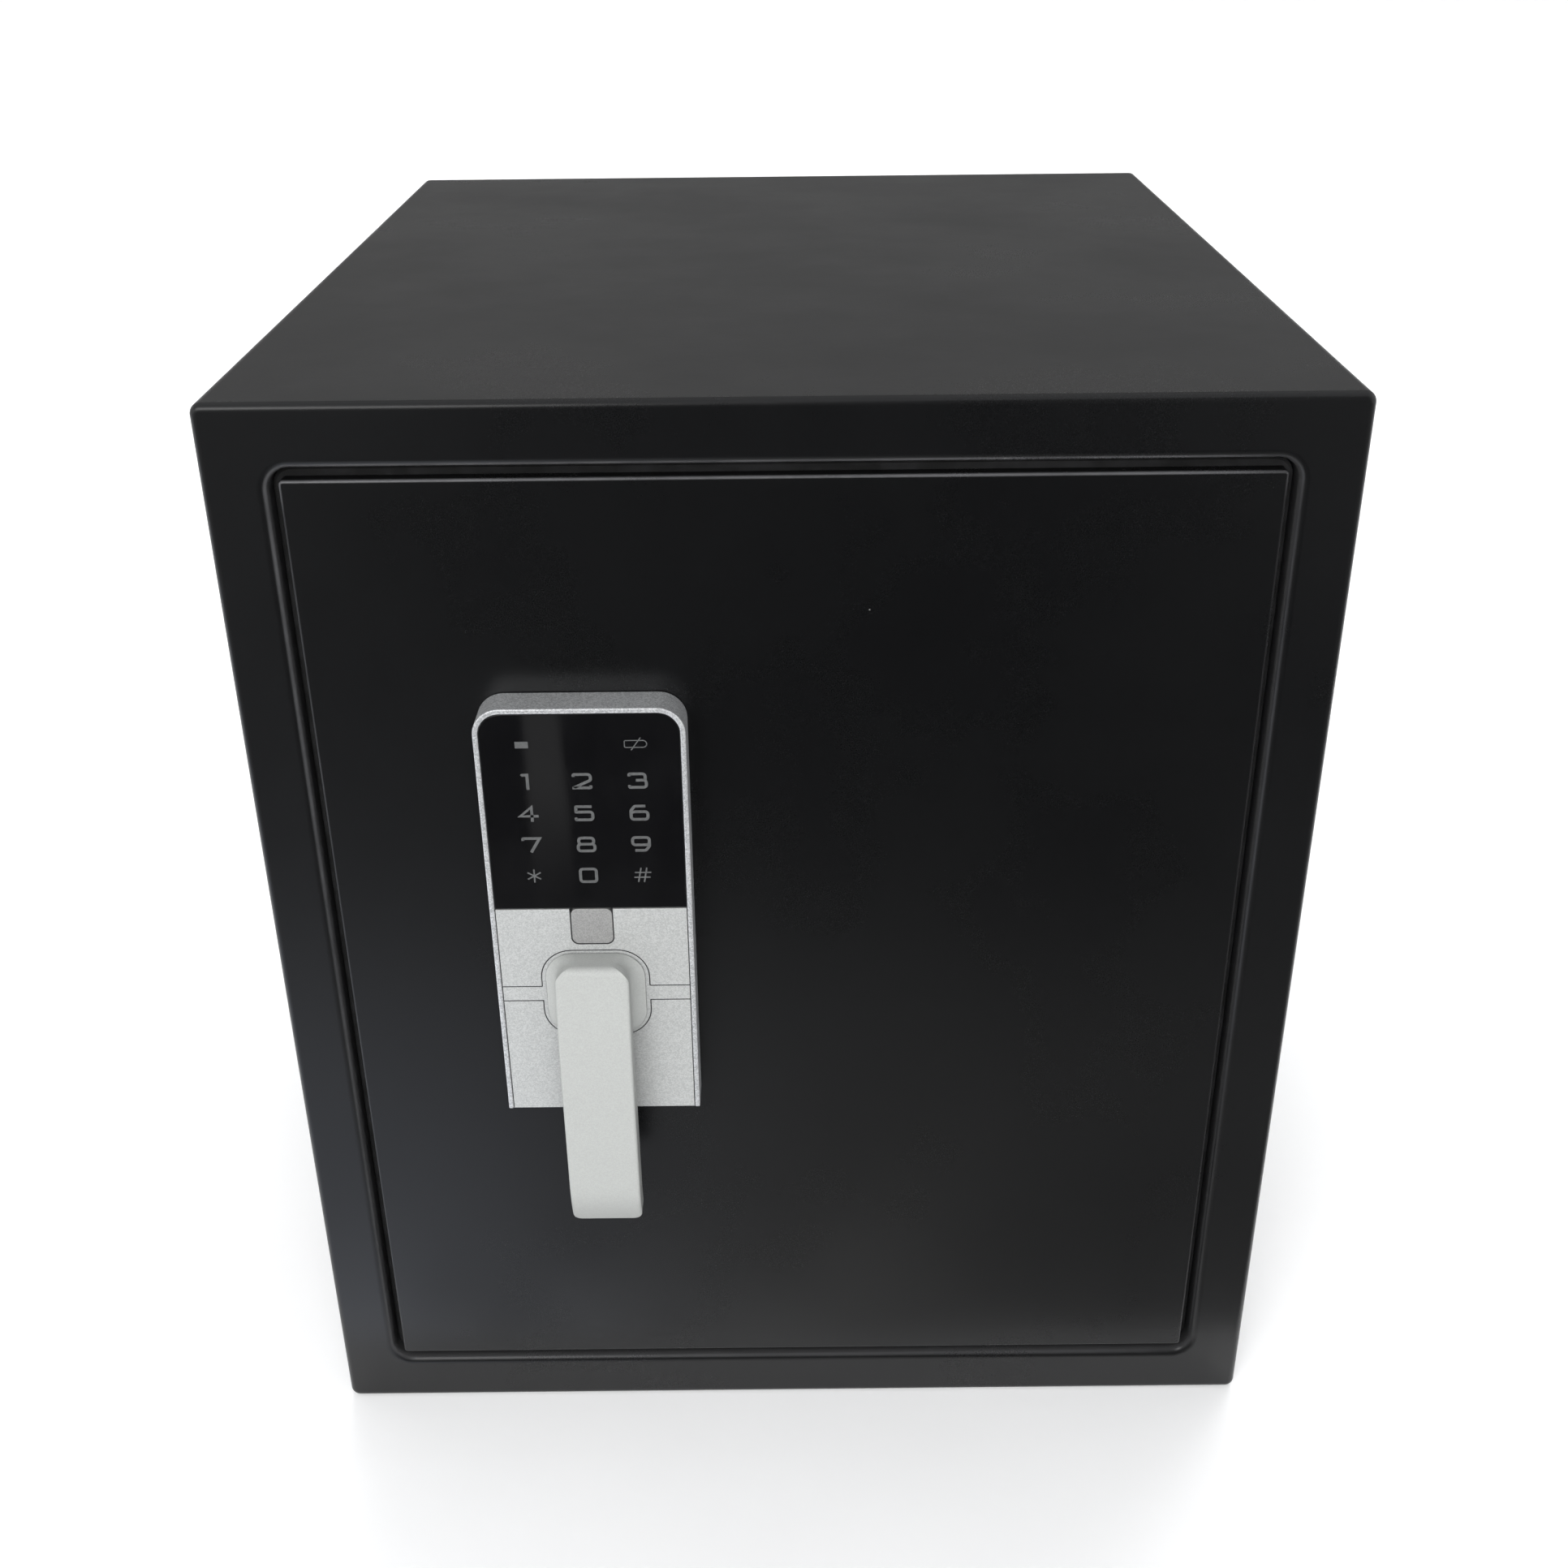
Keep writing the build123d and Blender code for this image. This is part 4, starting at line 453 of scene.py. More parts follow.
def cell_sleeve():
    """Shrink sleeve of a dry cell: a dark body, a warm band near the top and a bare metal end."""
    m = Nodes("cell_jacket")
    low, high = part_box("batteries")
    up = m.span(m.axis("Z"), low.z, high.z)
    wrinkle = m.noise(500.0, 3.0, where=m.stretched((1.0, 1.0, 0.15)))
    band = m.span(up, 0.79, 0.795)
    bare = m.span(up, 0.99, 0.993)
    shade = m.mix(m.span(wrinkle, 0.3, 0.7), (0.012, 0.012, 0.014), (0.022, 0.022, 0.026))
    shade = m.mix(band, shade, (0.45, 0.19, 0.05))
    shade = m.mix(bare, shade, (0.7, 0.7, 0.7))
    m.set(Base_Color=shade, Metallic=m.math("MAXIMUM", bare, m.math("MULTIPLY", band, 0.5)))
    m.set(Roughness=m.span(wrinkle, 0.3, 0.7, 0.26, 0.4))
    m.relief(wrinkle, 0.00004, 0.5, soften=0.3 * MM)
    return m.material


def studio_white():
    """Matt pale paper."""
    m = Nodes("studio_paper")
    fibres = m.noise(14.0, 4.0)
    m.set(Base_Color=m.mix(fibres, (0.92, 0.92, 0.92), (0.95, 0.95, 0.95)), Roughness=0.9)
    m.shader.inputs["Specular IOR Level"].default_value = 0.1
    return m.material


def finishes():
    """Every finish by the slot's name in the record."""
    black = (0.0035, 0.0036, 0.0040)
    door_black = tuple(0.85 * c for c in black)
    # grey of worn edges, and 1.6 times it for the painted highlight line
    cabinet_worn_and_highlight, door_worn_and_highlight = (0.045, 0.045, 0.047), (0.04, 0.04, 0.042)
    silver, silver_shade = (0.60, 0.61, 0.60), (0.44, 0.45, 0.445)
    housing, housing_shade = (0.80, 0.81, 0.82), (0.46, 0.47, 0.48)
    cap, cap_shade = (0.37, 0.37, 0.363), (0.27, 0.27, 0.267)
    return {
        "cabinet_paint": powder_coat(
            "cabinet_paint", black, cabinet_worn_and_highlight, 0.27, OPENING_PAINTED_OUTLINE, CABINET_GAP_PAINTED_TONE
        ),
        "door_paint": powder_coat("door_paint", door_black, door_worn_and_highlight, 0.26, DOOR_PAINTED_OUTLINE, DOOR_GAP_PAINTED_TONE),
        "felt": felt(),
        "zinc": plated("zinc", (0.62, 0.64, 0.67), (0.60, 0.57, 0.45), 0.34),
        "steel": turned("steel", (0.50, 0.50, 0.51), 0.26, "Y"),
        "chrome": turned("chrome", (0.78, 0.79, 0.80), 0.13, "X", 1900.0),
        "nylon": moulded("nylon", (0.72, 0.70, 0.63), 0.42, glow=0.25),
        "silver_paint": metallic_paint("silver_paint", silver, silver_shade, 0.42, 0.5, 2600.0),
        "housing_metal": metallic_paint("housing_metal", housing, housing_shade, 0.38, 0.65, 2300.0),
        "silver_cap": metallic_paint("silver_cap", cap, cap_shade, 0.46, 0.45, 2600.0),
        "black_glass": keypad_glass(),
        "board": circuit_board("board", "control_board", -1),
        "foam": foam(),
        "brass": turned("brass", (0.72, 0.52, 0.24), 0.3, "Y"),
        "copper": winding(),
        "black_plastic": moulded("black_plastic", (0.018, 0.018, 0.019), 0.46),
        "red_plastic": moulded("red_plastic", (0.42, 0.012, 0.012), 0.32),
        "cell_jacket": cell_sleeve(),
        "cable_jacket": moulded("cable_jacket", (0.02, 0.02, 0.022), 0.5),
    }


def dress_nodes(finish):
    """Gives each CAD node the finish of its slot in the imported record."""
    own = {
        "handle_lever": metallic_paint(
            "lever_paint", (0.365, 0.374, 0.362), (0.32, 0.328, 0.318), 0.45, 0.1, 3200.0,
            handled="handle_lever",
        ),
        "keypad_board": circuit_board("keypad_circuit", "keypad_board", 1),
    }
    # the hinges lie in shade in the door gap; the dark matt foam finish on them is painted shade, so they
    # show no bright spot there
    for part in ("washer", "bush", "pin"):
        own |= {f"hinge_{part}_{end}": finish["foam"] for end in ("top", "bottom")}
    for part in frame["record"]["subparts"]:
        data = NODES[part["node"]].data
        data.materials.clear()
        data.materials.append(own.get(part["node"], finish[part["material_slot"]]))


# ================================================================ mesh helpers
def mesh_piece(name, points, faces, material, body, smooth=False):
    """A new piece from points and faces, which rides on a body."""
    data = bpy.data.meshes.new(name)
    data.from_pydata([tuple(p) for p in points], [], faces)
    work = bmesh.new()
    work.from_mesh(data)
    bmesh.ops.remove_doubles(work, verts=work.verts, dist=1e-7)
    bmesh.ops.recalc_face_normals(work, faces=work.faces)
    work.to_mesh(data)
    work.free()
    for face in data.polygons:
        face.use_smooth = smooth
    data.materials.append(material)
    piece = bpy.data.objects.new(name, data)
    bpy.context.scene.collection.objects.link(piece)
    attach(piece, body)
    return piece


def rounded(points, radius, closed=False, steps=6):
    """The line with each corner turned into an arc. A corner is a point, or a point and its own radius."""
    line, count = [], len(points)
    for i, point in enumerate(points):
        here = Vector(point[:2])
        r = point[2] if len(point) > 2 else radius
        if r <= 0 or (not closed and i in (0, count - 1)):
            line.append(here)
            continue
        before = (Vector(points[i - 1][:2]) - here).normalized()
        after = (Vector(points[(i + 1) % count][:2]) - here).normalized()
        half = before.angle(after) / 2
        reach = r * cos(half) / sin(half)
        start, end = here + before * reach, here + after * reach
        centre = here + (before + after).normalized() * (r / sin(half))
        first, last = start - centre, end - centre
        turn = first.angle_signed(last)
        for k in range(steps + 1):
            line.append(centre + Matrix.Rotation(-turn * k / steps, 2) @ first)
    return line


def ribbon(line, width, closed=False):
    """Left and right edges of a stroke of that width along a flat line, mitred at its corners."""
    count = len(line)
    left, right = [], []
    for i, here in enumerate(line):
        if closed:
            before, after = here - line[i - 1], line[(i + 1) % count] - here
        else:
            before = here - line[i - 1] if i else line[1] - here
            after = line[i + 1] - here if i < count - 1 else here - line[i - 1]
        sides = [Vector((-v.y, v.x)).normalized() for v in (before, after)]
        side = (sides[0] + sides[1]).normalized()
        side *= width / 2 / max(0.5, side.dot(sides[0]))
        left.append(here + side)
        right.append(here - side)
    return left, right


def stroke(line, width, closed, where, thick):
    """Points and faces of one printed stroke. where(u, v, lift) gives the place in space."""
    left, right = ribbon(line, width, closed)
    count = len(line)
    points = []
    for lift in (0.0, thick):
        points += [where(p.x, p.y, lift) for p in left] + [where(p.x, p.y, lift) for p in right]
    faces = []
    low, top = 0, 2 * count
    for i in range(count if closed else count - 1):
        j = (i + 1) % count
        a, b, c, d = i, j, count + j, count + i
        faces.append((top + a, top + b, top + c, top + d))
        faces.append((low + d, low + c, low + b, low + a))
        faces.append((low + a, low + b, top + b, top + a))
        faces.append((low + c, low + d, top + d, top + c))
    if not closed:
        for i in (0, count - 1):
            faces.append((low + i, low + count + i, top + count + i, top + i))
    return points, faces


# ================================================================ keypad print
GLYPH_W = 2.7  # half width of a digit's centreline, mm
GLYPH_H = 2.4
GLYPH_R = 0.95
GLYPH_STROKE = 0.98
KEY_PITCH = 17.7
KEY_ROWS = (280.9, 269.3, 257.8, 246.2)
SIGN_ROW = 293.9
INK_THICK = 0.02
SEAM = 0.35  # gaps between the facia's pieces, mm
# width of the black strips in the facia's grooves, which are painted shade
GROOVE_SHADE_WIDTH = 0.36
BOSS = (36.0, 34.0, 10.5)  # the escutcheon's boss: wide, high, corner radius


def box_line(low, high, half=GLYPH_W):
    return [(-half, low), (half, low), (half, high), (-half, high)]


def glyphs():
    """Each key's strokes: (points, closed, width). A third number in a point is its corner's radius."""
    w, h, s = GLYPH_W, GLYPH_H, GLYPH_STROKE
    tick = 0.85
    star = [
        ([(-2.5 * cos(a), -2.5 * sin(a)), (2.5 * cos(a), 2.5 * sin(a))], False, 0.5)
        for a in (pi / 2, pi / 6, -pi / 6)
    ]
    slant = 0.5
    return {
        "1": [([(-1.5, h - 0.35, 0), (-1.2, h - 0.05, 0.3), (0.35, h, 0), (0.35, -h - s / 2)], False, s)],
        "2": [([
            (-w, h - tick), (-w, h, 0.3), (w, h), (w, 0.3, 0.8),
            (-w, -h + 0.1, 0), (-w, -h, 0), (w, -h, 0.3), (w, -h + tick),
        ], False, s)],
        "3": [
            ([(-w, h - tick), (-w, h, 0.3), (w - 0.3, h), (w - 0.3, 0.15, 0.5), (-0.6, 0.15)], False, s),
            ([(-0.6, 0.15), (w, 0.15), (w, -h), (-w, -h, 0.3), (-w, -h + tick)], False, s),
        ],
        "4": [([(0.9, -h - s / 2), (0.9, h, 0), (-w - 0.2, -0.9, 0), (w + 0.3, -0.9)], False, s)],
        "5": [([
            (w - 0.2, h), (-w + 0.1, h, 0.2), (-w + 0.1, 0.45, 0.1),
            (w, 0.45), (w, -h), (-w, -h, 0.3), (-w, -h + tick),
        ], False, s)],
        "6": [
            (box_line(-h, 0.35), True, s),
            ([(-w, -0.8), (-w, 0.8), (-w + 1.2, h, 0.9), (w - 0.7, h)], False, s),
        ],
        "7": [([(-w, h - tick), (-w, h, 0.2), (w, h, 0), (-0.3, -h - s / 3)], False, s)],
        "8": [(box_line(0.1, h, w - 0.3), True, s), (box_line(-h, 0.1), True, s)],
        "9": [
            (box_line(-0.35, h), True, s),
            ([(w, 0.8), (w, -0.8), (w - 1.2, -h, 0.9), (-w + 0.7, -h)], False, s),
        ],
        "star": star,
        "0": [(box_line(-h, h, w - 0.1), True, s)],
        "hash": [
            ([(-0.95 - slant, -2.7), (-0.95 + slant, 2.7)], False, 0.5),
            ([(0.95 - slant, -2.7), (0.95 + slant, 2.7)], False, 0.5),
            ([(-2.8, -0.9), (2.5, -0.9)], False, 0.5),
            ([(-2.5, 0.9), (2.8, 0.9)], False, 0.5),
        ],
        "dash": [([(-2.1, 0.0), (2.1, 0.0)], False, 2.3)],
        "cell": [
            ([(-3.6, -1.2, 0.4), (3.4, -1.2, 1.15), (3.4, 1.2, 1.15), (-3.6, 1.2, 0.4)], True, 0.34),
            ([(-1.6, -2.2), (1.5, 2.2)], False, 0.34),
        ],
    }


def keypad_print(ink):
    """Digits and signs printed on the glass, one piece a key."""
    low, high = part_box("keypad_glass")
    middle, face = (low.x + high.x) / 2, low.y
    shapes = glyphs()
    keys = "1 2 3 4 5 6 7 8 9 star 0 hash".split()
    places = {key: ((i % 3 - 1) * KEY_PITCH, KEY_ROWS[i // 3]) for i, key in enumerate(keys)}
    places["dash"] = (-KEY_PITCH - 0.6, SIGN_ROW)
    places["cell"] = (KEY_PITCH, SIGN_ROW)
    for key, (across, up) in places.items():
        points, faces = [], []
        for number, (corners, closed, width) in enumerate(shapes[key]):
            line = rounded(corners, GLYPH_R, closed)

            def where(u, v, lift, number=number):
                depth = face - (0.01 + 0.002 * number + lift) * MM
                return (middle + (across + u) * MM, depth, (up + v) * MM)

            some, more = stroke(line, width, closed, where, INK_THICK)
            faces += [tuple(len(points) + i for i in f) for f in more]
            points += some
        mesh_piece(f"key_print_{key}", points, faces, ink, "door")


def groove_shade_strips(material):
    """Black strips in the seams between the housing, its plates and the key cover: painted shade that darkens
    the grooves.
    """
    plate, cap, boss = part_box("lower_plate"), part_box("key_cover"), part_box("escutcheon")
    middle, level, face = (plate[0].x + plate[1].x) / 2, (boss[0].z + boss[1].z) / 2, plate[0].y
    half, top = (plate[1].x - plate[0].x) / 2 / MM + 0.09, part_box("upper_plate")[1].z
    low, high = (plate[0].z - level) / MM + 0.3, (top - level) / MM
    arm = (level - plate[1].z) / MM - SEAM / 2
    boss_w, boss_h, corner = BOSS[0] / 2 + SEAM / 2, BOSS[1] / 2 + SEAM / 2, BOSS[2] + SEAM / 2
    side, under = (cap[1].x - cap[0].x) / 2 / MM + SEAM / 2, (cap[0].z - level) / MM - SEAM / 2
    lines = {
        "left": [(-half, low), (-half, high)],
        "right": [(half, low), (half, high)],
        "cap": [(-side, high), (-side, under, 2.5), (side, under, 2.5), (side, high)],
    }
    for name, flip in (("upper", 1), ("lower", -1)):
        outline = [(-half, arm), (-boss_w, arm, 0.4), (-boss_w, boss_h, corner)]
        outline += [(-u, v, *more) for u, v, *more in reversed(outline)]
        lines[name] = [(u, flip * v, *more) for u, v, *more in outline]

    def where(u, v, lift):
        return (middle + u * MM, face + (0.5 - lift) * MM, level + v * MM)

    for name, corners in lines.items():
        points, faces = stroke(rounded(corners, 0.0, steps=10), GROOVE_SHADE_WIDTH, False, where, 0.51)
        mesh_piece(f"groove_shade_strip_{name}", points, faces, material, "door")


def door_seal(material):
    """Rubber seal on the back of the door plate: a flat base and a stepped lip that fills most of the gap."""
    plate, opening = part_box("door_plate"), OPENING_HALF * MM
    back = plate[1].y
    left, right = -opening + 3.6 * MM, opening - 3.9 * MM
    low, high = plate[0].z + 0.1 * MM, plate[1].z - 0.1 * MM
    corners = [(left, low), (right, low), (right, high), (left, high)]
    path = rounded([(x / MM, z / MM) for x, z in corners], 3.0, closed=True)
    points, faces = [], []
    for width, rise, start in SEAL_LAYERS:

        def where(u, v, lift, start=start):
            return (u * MM, back + (SEAL_DEPTH - start - lift) * MM, v * MM)

        some, more = stroke(path, width, True, where, rise)
        faces += [tuple(len(points) + i for i in f) for f in more]
        points += some
    mesh_piece("door_seal", points, faces, material, "door")


# ================================================================ felt and welds
def spaced(low, high, step):
    """Places from low to high, closer together near both ends."""
    inner = [low + 3 * MM, high - 3 * MM]
    count = round((inner[1] - inner[0]) / step)
    line = [inner[0] + (inner[1] - inner[0]) * i / count for i in range(count + 1)]
    return [low, low + 0.6 * MM, low + 1.5 * MM, *line, high - 1.5 * MM, high - 0.6 * MM, high]


def felt_mat(material):
    """Loose mat cut from felt: soft edges, a faintly wavy top and punched holes over the anchors."""
    low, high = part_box("floor_mat")
    xs, ys = spaced(low.x, high.x, MAT_STEP), spaced(low.y, high.y, MAT_STEP)
    centres = [Vector((sx * ANCHORS[0] / 2, sy * ANCHORS[1] / 2)) for sx in (-1, 1) for sy in (-1, 1)]

    def near(x, y):
        """The closest punched hole and how far away its middle is."""
        return min(((Vector((x, y)) - c).length, c.x, c.y) for c in centres)

    kept = []
    for i in range(len(xs) - 1):
        for j in range(len(ys) - 1):
            if near((xs[i] + xs[i + 1]) / 2, (ys[j] + ys[j + 1]) / 2)[0] > MAT_HOLE:
                kept.append((i, j))
    uses = {}
    for i, j in kept:
        ring = ((i, j), (i + 1, j), (i + 1, j + 1), (i, j + 1))
        for a, b in zip(ring, ring[1:] + ring[:1]):
            uses.setdefault(frozenset((a, b)), []).append((a, b))
    rim = [sides[0] for sides in uses.values() if len(sides) == 1]
    on_rim = {corner for side in rim for corner in side}
    numbers, points = {}, []
    for corner in {c for pair in uses for c in pair}:
        x, y = xs[corner[0]], ys[corner[1]]
        reach, cx, cy = near(x, y)
        inset = min(x - low.x, high.x - x, y - low.y, high.y - y)
        if corner in on_rim and reach < MAT_HOLE + 2 * MAT_STEP:
            x, y = cx + (x - cx) * MAT_HOLE / reach, cy + (y - cy) * MAT_HOLE / reach
            inset = 0.0
        elif reach < MAT_HOLE + 3 * MM:
            inset = min(inset, max(reach - MAT_HOLE, 0.6 * MM))
        round_off = 1.1 * MM * max(0.0, 1 - inset / (2.4 * MM)) ** 2
        wave = 0.16 * MM * noise.noise(Vector((x, y, 0)) * 38)
        wave += 0.12 * MM * noise.noise(Vector((x, y, 1)) * 210)
        numbers[corner] = len(points)
        points.append((x, y, high.z - 0.25 * MM - round_off + wave))
        points.append((x, y, low.z + 0.05 * MM))
    faces = []
    for i, j in kept:
        ring = [numbers[c] for c in ((i, j), (i + 1, j), (i + 1, j + 1), (i, j + 1))]
        faces.append(tuple(ring))
        faces.append(tuple(n + 1 for n in reversed(ring)))
    for a, b in rim:
        faces.append((numbers[b], numbers[a], numbers[a] + 1, numbers[b] + 1))
    mat = mesh_piece("felt_mat", points, faces, material, "cabinet", smooth=True)
    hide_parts("floor_mat")


def weld(name, line, normal, width, material, body, closed=False):
    """A rippled bead along a line, its back sunk into the metal. Unless closed, it tapers at its ends."""
    normal = Vector(normal).normalized()
    pitch = width * 0.22
    places = []
    for a, b in zip(line, line[1:] + line[:1] if closed else line[1:]):
        a, b = Vector(a), Vector(b)
        count = max(1, round((b - a).length / pitch))
        places += [a.lerp(b, k / count) for k in range(count)]
    if not closed:
        places.append(Vector(line[-1]))
    total, across = len(places), 7
    points = []
    for i, here in enumerate(places):
        after = places[(i + 1) % total] if closed or i + 1 < total else here
        before = places[i - 1] if closed or i else here
        side = (after - before).normalized().cross(normal)
        ends = 1.0 if closed else min(1.0, 0.3 + 0.25 * min(i, total - 1 - i))
        size = ends * (1 + 0.10 * noise.noise(here * 400) + 0.07 * cos(i * pi / 2))
        for k in range(across):
            turn = pi * k / (across - 1)
            lift = 0.42 * width * size * sin(turn) - 0.12 * width
            points.append(here + side * (0.5 * width * size * cos(turn)) + normal * lift)
    faces = []
    for i in range(total if closed else total - 1):
        j = (i + 1) % total
        for k in range(across):
            m = (k + 1) % across
            faces.append((i * across + k, i * across + m, j * across + m, j * across + k))
    if not closed:
        faces.append(tuple(range(across)))
        faces.append(tuple(range((total - 1) * across, total * across)))
    return mesh_piece(name, points, faces, material, body, smooth=True)


def back_seam(material):
    """Ground weld all round the back panel, where it is set into the wrap."""
    low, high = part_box("back_panel")
    corners = [(low.x, low.z), (high.x, low.z), (high.x, high.z), (low.x, high.z)]
    outline = rounded(corners, 2.5 * MM, closed=True)
    line = [(p.x, high.y, p.y) for p in outline]
    bead = weld("back_seam", line, (0, 1, 0), 2.6 * MM, material, "cabinet", closed=True)
    for point in bead.data.vertices:
        point.co.y = min(point.co.y, high.y + 0.35 * MM)


def stitch_welds(cabinet_paint, door_paint):
    """Short fillet welds that hold the brackets, the rails, the pan and the dead bar."""
    spots = []
    for end, side in (("top", 1), ("bottom", -1)):
        low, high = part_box(f"hinge_bracket_{end}")
        seat = low.z if side > 0 else high.z
        for k, x in enumerate((low.x, high.x)):
            line = [(x, low.y + 2 * MM, seat), (x, high.y - 2 * MM, seat)]
            normal = (2 * k - 1, 0, side)
            spots.append((f"weld_bracket_{end}_{k + 1}", line, normal, 3.2, cabinet_paint, "cabinet"))
    low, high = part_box("shelf_rails")
    for side, wall in ((-1, low.x), (1, high.x)):
        for k, share in enumerate((0.08, 0.5, 0.92)):
            y = low.y + (high.y - low.y) * share
            line = [(wall, y - 9 * MM, low.z), (wall, y + 9 * MM, low.z)]
            name = f"weld_rail_{'left' if side < 0 else 'right'}_{k + 1}"
            spots.append((name, line, (-side, 0, -1), 3.4, cabinet_paint, "cabinet"))
    low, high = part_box("door_pan")
    for side, x in ((-1, low.x), (1, high.x)):
        for k, z in enumerate((0.055, 0.140, 0.260, 0.345)):
            line = [(x, low.y, z - 11 * MM), (x, low.y, z + 11 * MM)]
            name = f"weld_pan_{'left' if side < 0 else 'right'}_{k + 1}"
            spots.append((name, line, (side, 1, 0), 3.4, door_paint, "door"))
    for side, z in ((-1, low.z), (1, high.z)):
        for k, x in enumerate((-0.11, 0.0, 0.10)):
            line = [(x - 11 * MM, low.y, z), (x + 11 * MM, low.y, z)]
            name = f"weld_pan_{'under' if side < 0 else 'over'}_{k + 1}"
            spots.append((name, line, (0, 1, side), 3.4, door_paint, "door"))
    low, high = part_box("dead_bar")
    for k, z in enumerate((0.085, 0.200, 0.315)):
        line = [(low.x, high.y, z - 12 * MM), (low.x, high.y, z + 12 * MM)]
        spots.append((f"weld_dead_bar_{k + 1}", line, (1, 1, 0), 3.4, door_paint, "door"))
    for name, line, normal, width, paint, body in spots:
        weld(name, line, normal, width * MM, paint, body)


def contact_springs(material):
    """A conical coil under each cell."""
    cells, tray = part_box("batteries"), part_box("battery_tray")
    pitch, wire, turns, steps = 15.0 * MM, 0.35 * MM, 3.2, 56
    middle, depth = (cells[0].x + cells[1].x) / 2, (cells[0].y + cells[1].y) / 2
    floor = tray[0].z + 1.5 * MM
    rise = cells[0].z - floor - 2.2 * wire
    for n in range(4):
        x = middle + (n - 1.5) * pitch
        points, faces = [], []
        for i in range(steps + 1):
            turn = 2 * pi * turns * i / steps
            radius = (4.6 - 1.8 * i / steps) * MM
            out = Vector((cos(turn), sin(turn), 0))
            here = Vector((x, depth, floor + 1.1 * wire + rise * i / steps)) + out * radius
            for k in range(6):
                angle = pi * k / 3
                points.append(here + out * wire * cos(angle) + Vector((0, 0, wire * sin(angle))))
        for i in range(steps):
            for k in range(6):
                m = (k + 1) % 6
                faces.append((6 * i + k, 6 * i + m, 6 * i + 6 + m, 6 * i + 6 + k))
        faces.append(tuple(range(6)))
        faces.append(tuple(range(6 * steps, 6 * steps + 6)))
        mesh_piece(f"contact_spring_{n + 1}", points, faces, material, "door", smooth=True)


# ================================================================ stage
def revolve_profile(name, profile, steps, material):
    """A surface of revolution about Z, part of the studio."""
    turns = [2 * pi * k / steps for k in range(steps)]
    points = [(r * cos(a), r * sin(a), z) for r, z in profile for a in turns]
    faces = []
    for row in range(len(profile) - 1):
        for k in range(steps):
            a, b = row * steps + k, row * steps + (k + 1) % steps
            faces.append((a, b, b + steps, a + steps))
    data = bpy.data.meshes.new(name)
    data.from_pydata(points, [], faces)
    for face in data.polygons:
        face.use_smooth = True
    data.materials.append(material)
    thing = bpy.data.objects.new(name, data)
    bpy.context.scene.collection.objects.link(thing)
    return thing


def studio():
    """Pale floor that curves up into a round wall."""
    turn = [radians(90 * k / 12) for k in range(13)]
    curve = [(FLOOR_FLAT + SWEEP * sin(a), SWEEP * (1 - cos(a))) for a in turn]
    profile = [(0.001, 0.0), (0.6, 0.0), *curve, (FLOOR_FLAT + SWEEP, WALL_TOP)]
    revolve_profile("studio_sweep", profile, 96, studio_white())


def world(strength):
    """Even, faintly cool light from all round."""
    scene_world = bpy.data.worlds.new("studio_air")
    bpy.context.scene.world = scene_world
    scene_world.use_nodes = True
    background = scene_world.node_tree.nodes["Background"]
    background.inputs["Color"].default_value = (0.97, 0.98, 1.0, 1.0)
    background.inputs["Strength"].default_value = strength


def softbox(name, place, aim, size, watts, tint=(1.0, 1.0, 1.0), mirrored=True):
    """Rectangular area light turned towards its aim. A light that isn't mirrored gives no highlights."""
    light = bpy.data.lights.new(name, "AREA")
    light.shape = "RECTANGLE"
    light.size, light.size_y = size
    light.energy = watts
    light.color = tint
    thing = bpy.data.objects.new(name, light)
    thing.location = place
    thing.rotation_mode = "QUATERNION"
    thing.rotation_quaternion = (Vector(aim) - Vector(place)).to_track_quat("-Z", "Y")
    thing.visible_glossy = mirrored
    bpy.context.scene.collection.objects.link(thing)
    return thing


def glossy_only(name, points, faces, material):
    """A card that only reflections see."""
    data = bpy.data.meshes.new(name)
    data.from_pydata(points, [], faces)
    data.materials.append(material)
    card = bpy.data.objects.new(name, data)
    bpy.context.scene.collection.objects.link(card)
    card.visible_camera = False
    card.visible_diffuse = False
    card.visible_shadow = False
    card.visible_transmission = False


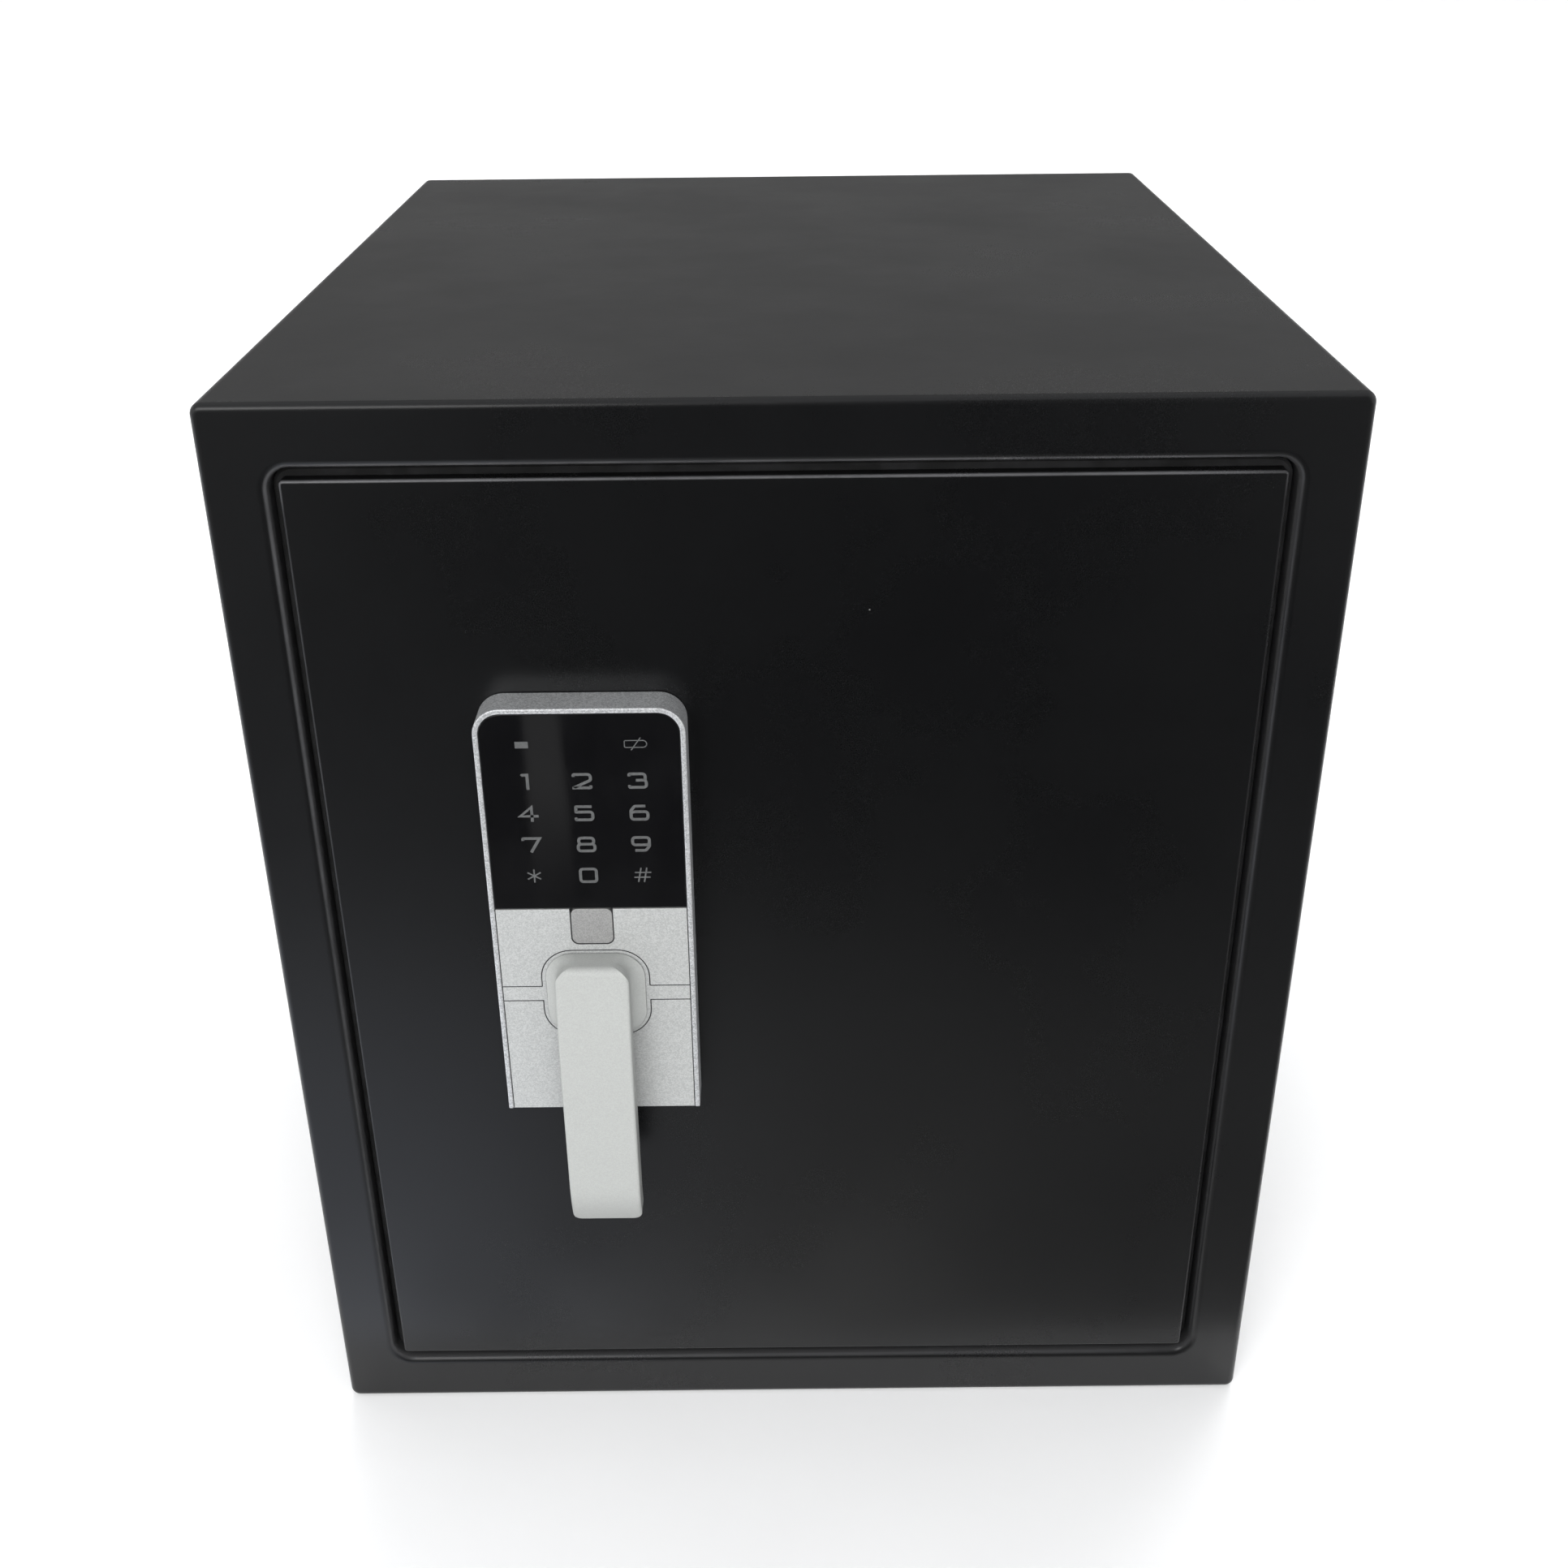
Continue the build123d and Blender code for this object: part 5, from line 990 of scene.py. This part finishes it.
def reflector():
    """Card seen only in reflections: the lit floor before the safe falls away into a dark room.

    A pale streak runs over it, which the glass mirrors left of its middle.
    """
    m = Nodes("reflector_card")
    tree = m.tree
    tree.nodes.remove(m.shader)
    away = m.math("SUBTRACT", cad_box[0].y, m.axis("Y"))
    across = m.axis("X")
    ramp = m.add("ShaderNodeValToRGB")
    m.feed(ramp.inputs[0], away)
    while len(ramp.color_ramp.elements) < len(CARD_TONES):
        ramp.color_ramp.elements.new(0.5)
    for element, (at, value) in zip(ramp.color_ramp.elements, CARD_TONES):
        element.position = at
        element.color = (value, value, value, 1.0)
    side = m.math("ADD", m.span(across, -0.28, 0.03, 0.86, 0.0), m.span(across, 0.0, 0.2, 0.58, 0.43))
    corner = m.math("MULTIPLY", m.span(across, 0.02, 0.17, 0.0, 0.42), m.span(away, 0.16, 0.03))
    side = m.math("SUBTRACT", side, m.math("MULTIPLY", corner, side))
    clouds = m.span(m.noise(14.0, 3.0), 0.3, 0.7, 0.75, 1.25)
    middle = m.math("SUBTRACT", m.math("MULTIPLY", away, -0.154), 0.077)
    off = m.math("ABSOLUTE", m.math("SUBTRACT", across, middle))
    streak = m.math("MULTIPLY", m.span(off, 0.009, 0.016, 1.0, 0.0), m.span(away, 0.34, 0.54))
    streak = m.math("MULTIPLY", m.math("MULTIPLY", streak, m.span(away, 0.9, 0.7)), STREAK)
    wings = m.span(m.math("ABSOLUTE", across), 0.32, 0.6, 0.0, 0.16)
    wings = m.math("MULTIPLY", wings, m.span(away, 0.3, 0.5))
    base = m.add("ShaderNodeVectorMath", operation="MULTIPLY")
    m.feed(base.inputs[0], ramp.outputs[0])
    m.feed(base.inputs[1], m.math("MULTIPLY", side, clouds))
    both = m.add("ShaderNodeVectorMath", operation="ADD")
    m.feed(both.inputs[0], base.outputs[0])
    m.feed(both.inputs[1], m.math("ADD", streak, wings))
    cool = m.math("MULTIPLY", m.span(across, 0.05, -0.2), m.span(away, 0.4, 0.15))
    tinted = m.add("ShaderNodeVectorMath", operation="MULTIPLY")
    m.feed(tinted.inputs[0], both.outputs[0])
    m.feed(tinted.inputs[1], m.mix(cool, (1.0, 1.0, 0.99), (0.94, 0.995, 1.12)))
    glow = m.add("ShaderNodeEmission")
    m.feed(glow.inputs["Color"], tinted.outputs[0])
    tree.links.new(glow.outputs[0], tree.nodes["Material Output"].inputs["Surface"])
    near, far, half, lift, top = cad_box[0].y - 0.004, -2.4, 2.2, 0.001, 2.6
    points = [(x, y, z) for y, z in ((near, lift), (far, lift), (far, top)) for x in (-half, half)]
    glossy_only("reflector_card", points, [(0, 1, 3, 2), (2, 3, 5, 4)], m.material)


def back_card():
    """Grey card seen only in reflections, which keeps the cabinet's top from mirroring the bright wall."""
    m = Nodes("back_card")
    m.tree.nodes.remove(m.shader)
    glow = m.add("ShaderNodeEmission")
    tone = m.span(m.axis("Z"), 0.6, 1.0, 0.58 * BACK_CARD, BACK_CARD)
    clouds = m.span(m.noise(0.9, 2.0), 0.3, 0.7, 0.94, 1.06)
    m.feed(glow.inputs["Strength"], m.math("MULTIPLY", tone, clouds))
    m.tree.links.new(glow.outputs[0], m.tree.nodes["Material Output"].inputs["Surface"])
    half, near, low, top = 2.6, 1.9, 0.5, 3.6
    points = [(x, near + 0.15 * abs(x), z) for z in (low, top) for x in (-half, 0.0, half)]
    glossy_only("back_card", points, [(0, 1, 4, 3), (1, 2, 5, 4)], m.material)


def camera():
    """The camera at the photograph's viewing angle."""
    data = bpy.data.cameras.new("camera")
    data.lens = LENS
    data.sensor_width = SENSOR
    data.clip_start, data.clip_end = 0.02, 50.0
    thing = bpy.data.objects.new("camera", data)
    thing.location = CAMERA_PLACE
    thing.rotation_euler = [radians(a) for a in CAMERA_TURN]
    bpy.context.scene.collection.objects.link(thing)
    bpy.context.scene.camera = thing


# ================================================================ the scene
camera()
studio()
world(WORLD_LIGHT)
# a small light that shows in the paint, and two large ones that only light the surfaces
softbox("key_light", (-0.65, -1.25, 1.15), (-0.05, -0.2, 0.15), (0.8, 0.6), 6.0)
softbox("front_light", (-0.2, -2.4, 1.0), (0.0, 0.0, 0.15), (2.4, 1.2), 56.0, mirrored=False)
softbox("back_light", (0.3, 2.0, 2.4), (0.0, 0.9, 0.0), (3.0, 1.6), 70.0, mirrored=False)
reflector()
back_card()

finish = finishes()
dress_nodes(finish)
keypad_print(printed_ink())
# black strips in the facia's grooves as painted shade
groove_shade_strips(finish["black_plastic"])
door_seal(rubber())
felt_mat(finish["felt"])
back_seam(finish["cabinet_paint"])
stitch_welds(finish["cabinet_paint"], finish["door_paint"])
contact_springs(finish["steel"])

bpy.context.scene.view_settings.view_transform = "Standard"
